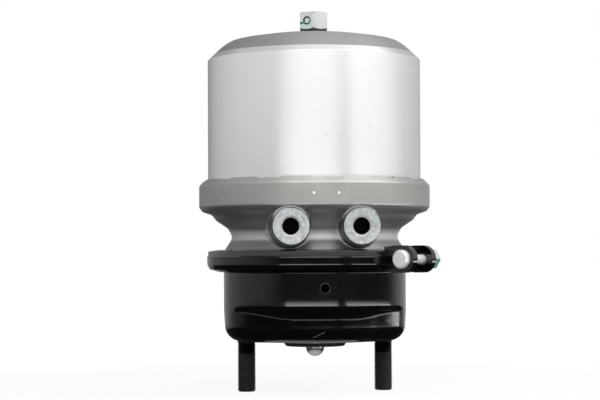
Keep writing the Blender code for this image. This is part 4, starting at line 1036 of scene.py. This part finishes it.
def makeClampBolt():
    bolt = {"near": 17.9, "far": 14.3, "head": 7.9, "shank": 3.9, "plain": 33, "beyond": 17}
    length = bolt["near"] + bolt["far"] + bolt["beyond"]
    begin = bolt["plain"] + 0.3
    start = earMiddle + clampOut * clamp["boltRadius"] - clampAlong * bolt["near"]
    head = turned("clampBolt", [
        (0, -4.6), (6.4, -4.6, 0.8), (bolt["head"], -3.7, 0.9), (bolt["head"], 0, 0.2), (bolt["shank"], 0),
        (bolt["shank"], bolt["plain"]), (3.7, begin),
    ], 40)
    tail = threaded("boltThread", "boltZinc", 4.2, 0.35, length - begin, begin, 3.7, 3.6)
    tip = turned("tip", [(3.6, length), (0, length)], 40)
    piece = place(joined("clampBolt", [head, tail, tip], True), lying(start, clampAlong))
    settle(piece, "boltZinc", "housings", "clamp_bolt")
    nut = prism("clampNut", hexagon(16), 0, 10)
    rounding = [(0, 10), (7.7, 10), (9.4, 9.0), (9.4, 1.0), (7.7, 0), (0, 0)]
    boolean(nut, [turned("rounding", rounding)], "INTERSECT")
    boolean(nut, [turned("nutBore", [(0, 12), (5.2, 12), (5.2, -2), (0, -2)], 32)])
    place(nut, lying(start + clampAlong * (bolt["near"] + bolt["far"]), clampAlong))
    settle(nut, "nutZinc", "housings", "clamp_nut")


makeClampRing()
makeClampBolt()
print("clamp made")


# port bushes

def makePortBush(name, side, node):
    # z is depth behind the face, so the face is at 0
    shell = turned(name, [
        (8.9, 0, 0.2), (15.7, 0, 0.7), (15.7, -6, 0.4), (11.5, -6), (11.5, -19, 0.5), (7.2, -19, 0.3),
        (7.2, -17.5),
    ], steps=3)
    thread = threaded("portThread", "zincPlate", 7.2, 0.8, 15, -17.5, 7.2, 7.3, Outward=-1.0, Sides=64)
    sink = turned("sink", [(8.9, 0), (7.3, -2.5)])
    end = turned("portFloor", [(7.25, -17.6), (0, -17.6)])
    piece = joined(name, [shell, thread, sink, end], True)
    settle(piece, "zincPlate boreShade dimZinc boltZinc", "housings", node)
    for face in piece.data.polygons:
        x, y, z = face.center / mm
        reach = math.hypot(x, y)
        if reach < 8.0 and z < -5.5:
            face.material_index = 1
        # painted highlight: the countersink takes the lighter, less metallic bolt zinc, a lit copy of the
        # bush's zinc
        if reach < 8.9 and z > -2.6 and abs(face.normal.z) < 0.98:
            face.material_index = 3
        # painted shade: the bush's side takes the dark copy of its zinc
        if reach > 15.4:
            face.material_index = 2
    place(piece, portPlace(side, -port["face"]))


makePortBush("portBushLeft", -1, "port_bush_left")
makePortBush("portBushRight", 1, "port_bush_right")
print("ports made")


# studs

def makeStud(name, side, node):
    sides, end = studs["sides"], studs["end"]
    head = turned(name, [(0, 9.3), (10, 9.3, 0.8), (10, 6.1, 0.4), (8, 4.3), (8, -1.2), (7.2, -2)], sides)
    thread = threaded("studThread", "studSteel", 8, 0.85, -2 - end, end, 6.6, 7.2)
    tip = turned("tip", [(6.6, end), (0, end)], sides)
    piece = joined(name, [head, thread, tip], True)
    place(piece, Matrix.Translation((side * studs["aside"] * mm, 0, 0)))
    settle(piece, "studSteel", "housings", node)


makeStud("studLeft", -1, "stud_left")
makeStud("studRight", 1, "stud_right")
print("studs made")


# release hexagon, pin and washer

def makeRelease():
    hexPart = {"width": 24, "bottom": 273.3, "top": 288.6, "turn": -6}
    across = lying((0, 0, releasePin["height"]), direction(releasePin["facing"]))
    corners = hexagon(hexPart["width"], math.radians(hexPart["turn"] - 90))
    piece = prism("releaseHex", corners, hexPart["bottom"], hexPart["top"], 0.25)
    boolean(piece, [turned("rounding", [
        (0, 288.6), (11.6, 288.6, 0.8), (14.4, 287.0), (14.4, 275.2), (11.8, 273.3, 0.4), (0, 273.3),
    ], 96)], "INTERSECT")
    boolean(piece, [
        turned("hexBore", [(0, 292), (9.8, 292), (9.8, 270), (0, 270)], 48),
        turned("pinHole", [(0, 20), (3.3, 20), (3.3, -20), (0, -20)], 32, at=across),
    ])
    settle(piece, "hexZinc", "screw", "release_hex")
    pin = turned("releasePin", [(0, 11.6), (3, 11.6, 0.5), (3, -11.6, 0.5), (0, -11.6)], 32, at=across)
    settle(pin, "hexZinc", "screw", "release_pin")
    ring = [(11.7, 273.0, 0.3), (11.7, 270.0, 0.3), (10.2, 270.0), (10.2, 273.0)]
    washer = turned("thrustWasher", ring, closed=True)
    settle(washer, "phosphateSteel", "housings", "screw_thrust_washer")


makeRelease()
print("release parts made")


# push rod and boot

def makeRod():
    ball = {"radius": 8, "height": -5.8}
    tip = []
    for k in range(16):
        angle = math.radians(-90 * k / 16)
        tip.append((ball["radius"] * math.cos(angle), ball["height"] + ball["radius"] * math.sin(angle)))
    tip.append((0, ball["height"] - ball["radius"]))
    rod = turned("pushRod", [(0, 87.6), (8, 87.6, 0.5), (8, -5.0)] + tip)
    settle(rod, "ballSteel", "rod", "push_rod")


def makeBoot():
    fold = {"count": 8, "top": 76.0, "length": 67, "out": 18.6, "in": 15.7, "wall": 1.6}
    folds = []
    inner = []
    for i in range(fold["count"]):
        edge = fold["in"] if i % 2 else fold["out"]
        z = fold["top"] - fold["length"] * (i + 0.5) / fold["count"]
        folds.append((edge, z, 1.6))
        inner.append((edge - fold["wall"], z, 1.0))
    lip = [
        (19.7, 7.1, 1), (26, 7.1, 0.8), (26, 4.3, 0.3), (21.7, 4.3, 0.4), (21.7, 0.2, 0.4), (27, 0.2, 0.8),
        (27, -2.6, 0.8), (25.6, -4.8, 1.2), (18.7, -4.8, 1.0), (17.7, 6.1, 1.5),
    ]
    collar = [(14.1, 82.5, 0.4), (17.6, 82.5, 0.8), (17.6, 77.0, 0.8)]
    boot = turned("rodBoot", collar + folds + lip + inner[::-1] + [(14.1, 77.0, 0.5)], closed=True)
    settle(boot, "rubber", None, "rod_boot")
    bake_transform(boot)


makeRod()
makeBoot()
print("rod and boot made")


# springs and diaphragm

def makeSprings():
    power = grow(
        "powerSpring", coils, "springSteel", WireRadius=6 * mm, BottomRadius=63 * mm, TopRadius=63 * mm,
        Base=193.7 * mm, Height=55.0 * mm, CloseEnds=0.1, PointsaTurn=64, Sides=16,
    )
    settle(power, "springSteel", None, "power_spring")
    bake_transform(power)
    back = grow(
        "returnSpring", coils, "springSteel", WireRadius=2.2 * mm, BottomRadius=40 * mm, TopRadius=25 * mm,
        Base=8.9 * mm, Height=72.5 * mm, CloseEnds=0.6, PointsaTurn=56, Sides=12,
    )
    settle(back, "springSteel", None, "return_spring")
    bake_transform(back)


def makeDiaphragm():
    sheet = turned("diaphragm", [
        (0, 91.1), (56.8, 91.1, 4), (63.3, 87.1, 3), (65.8, 81.1, 2), (67.8, 75.1, 3), (72.8, 72.1, 2),
        (90, 72.1, 0.5), (90, 67.9, 0.5), (70.8, 67.9, 3), (64.5, 73.1, 3), (62.6, 80.6, 3), (55.8, 87.9, 2),
        (0, 87.9),
    ], 96)
    settle(sheet, "rubber", None, "diaphragm")
    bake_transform(sheet)


makeSprings()
makeDiaphragm()
print("springs and diaphragm made")


# the CAD pieces that stay get their finishes

kept = {
    "bearingPlastic": ("tube_guide_bush", "piston_guide_ring"),
    "rubber": ("tube_seal", "housing_seal", "screw_seal", "piston_seal"),
    "castAluminium": ("spring_piston",),
    "plainSteel": ("seal_retaining_ring", "spring_seat_plate", "boot_retainer", "release_screw", "push_tube",
                   "tube_end_cap", "release_nut", "push_plate"),
}
for look, nodeNames in kept.items():
    for nodeName in nodeNames:
        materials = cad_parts[nodeName].data.materials
        materials.clear()
        materials.append(finishes[look])
print("kept pieces dressed")
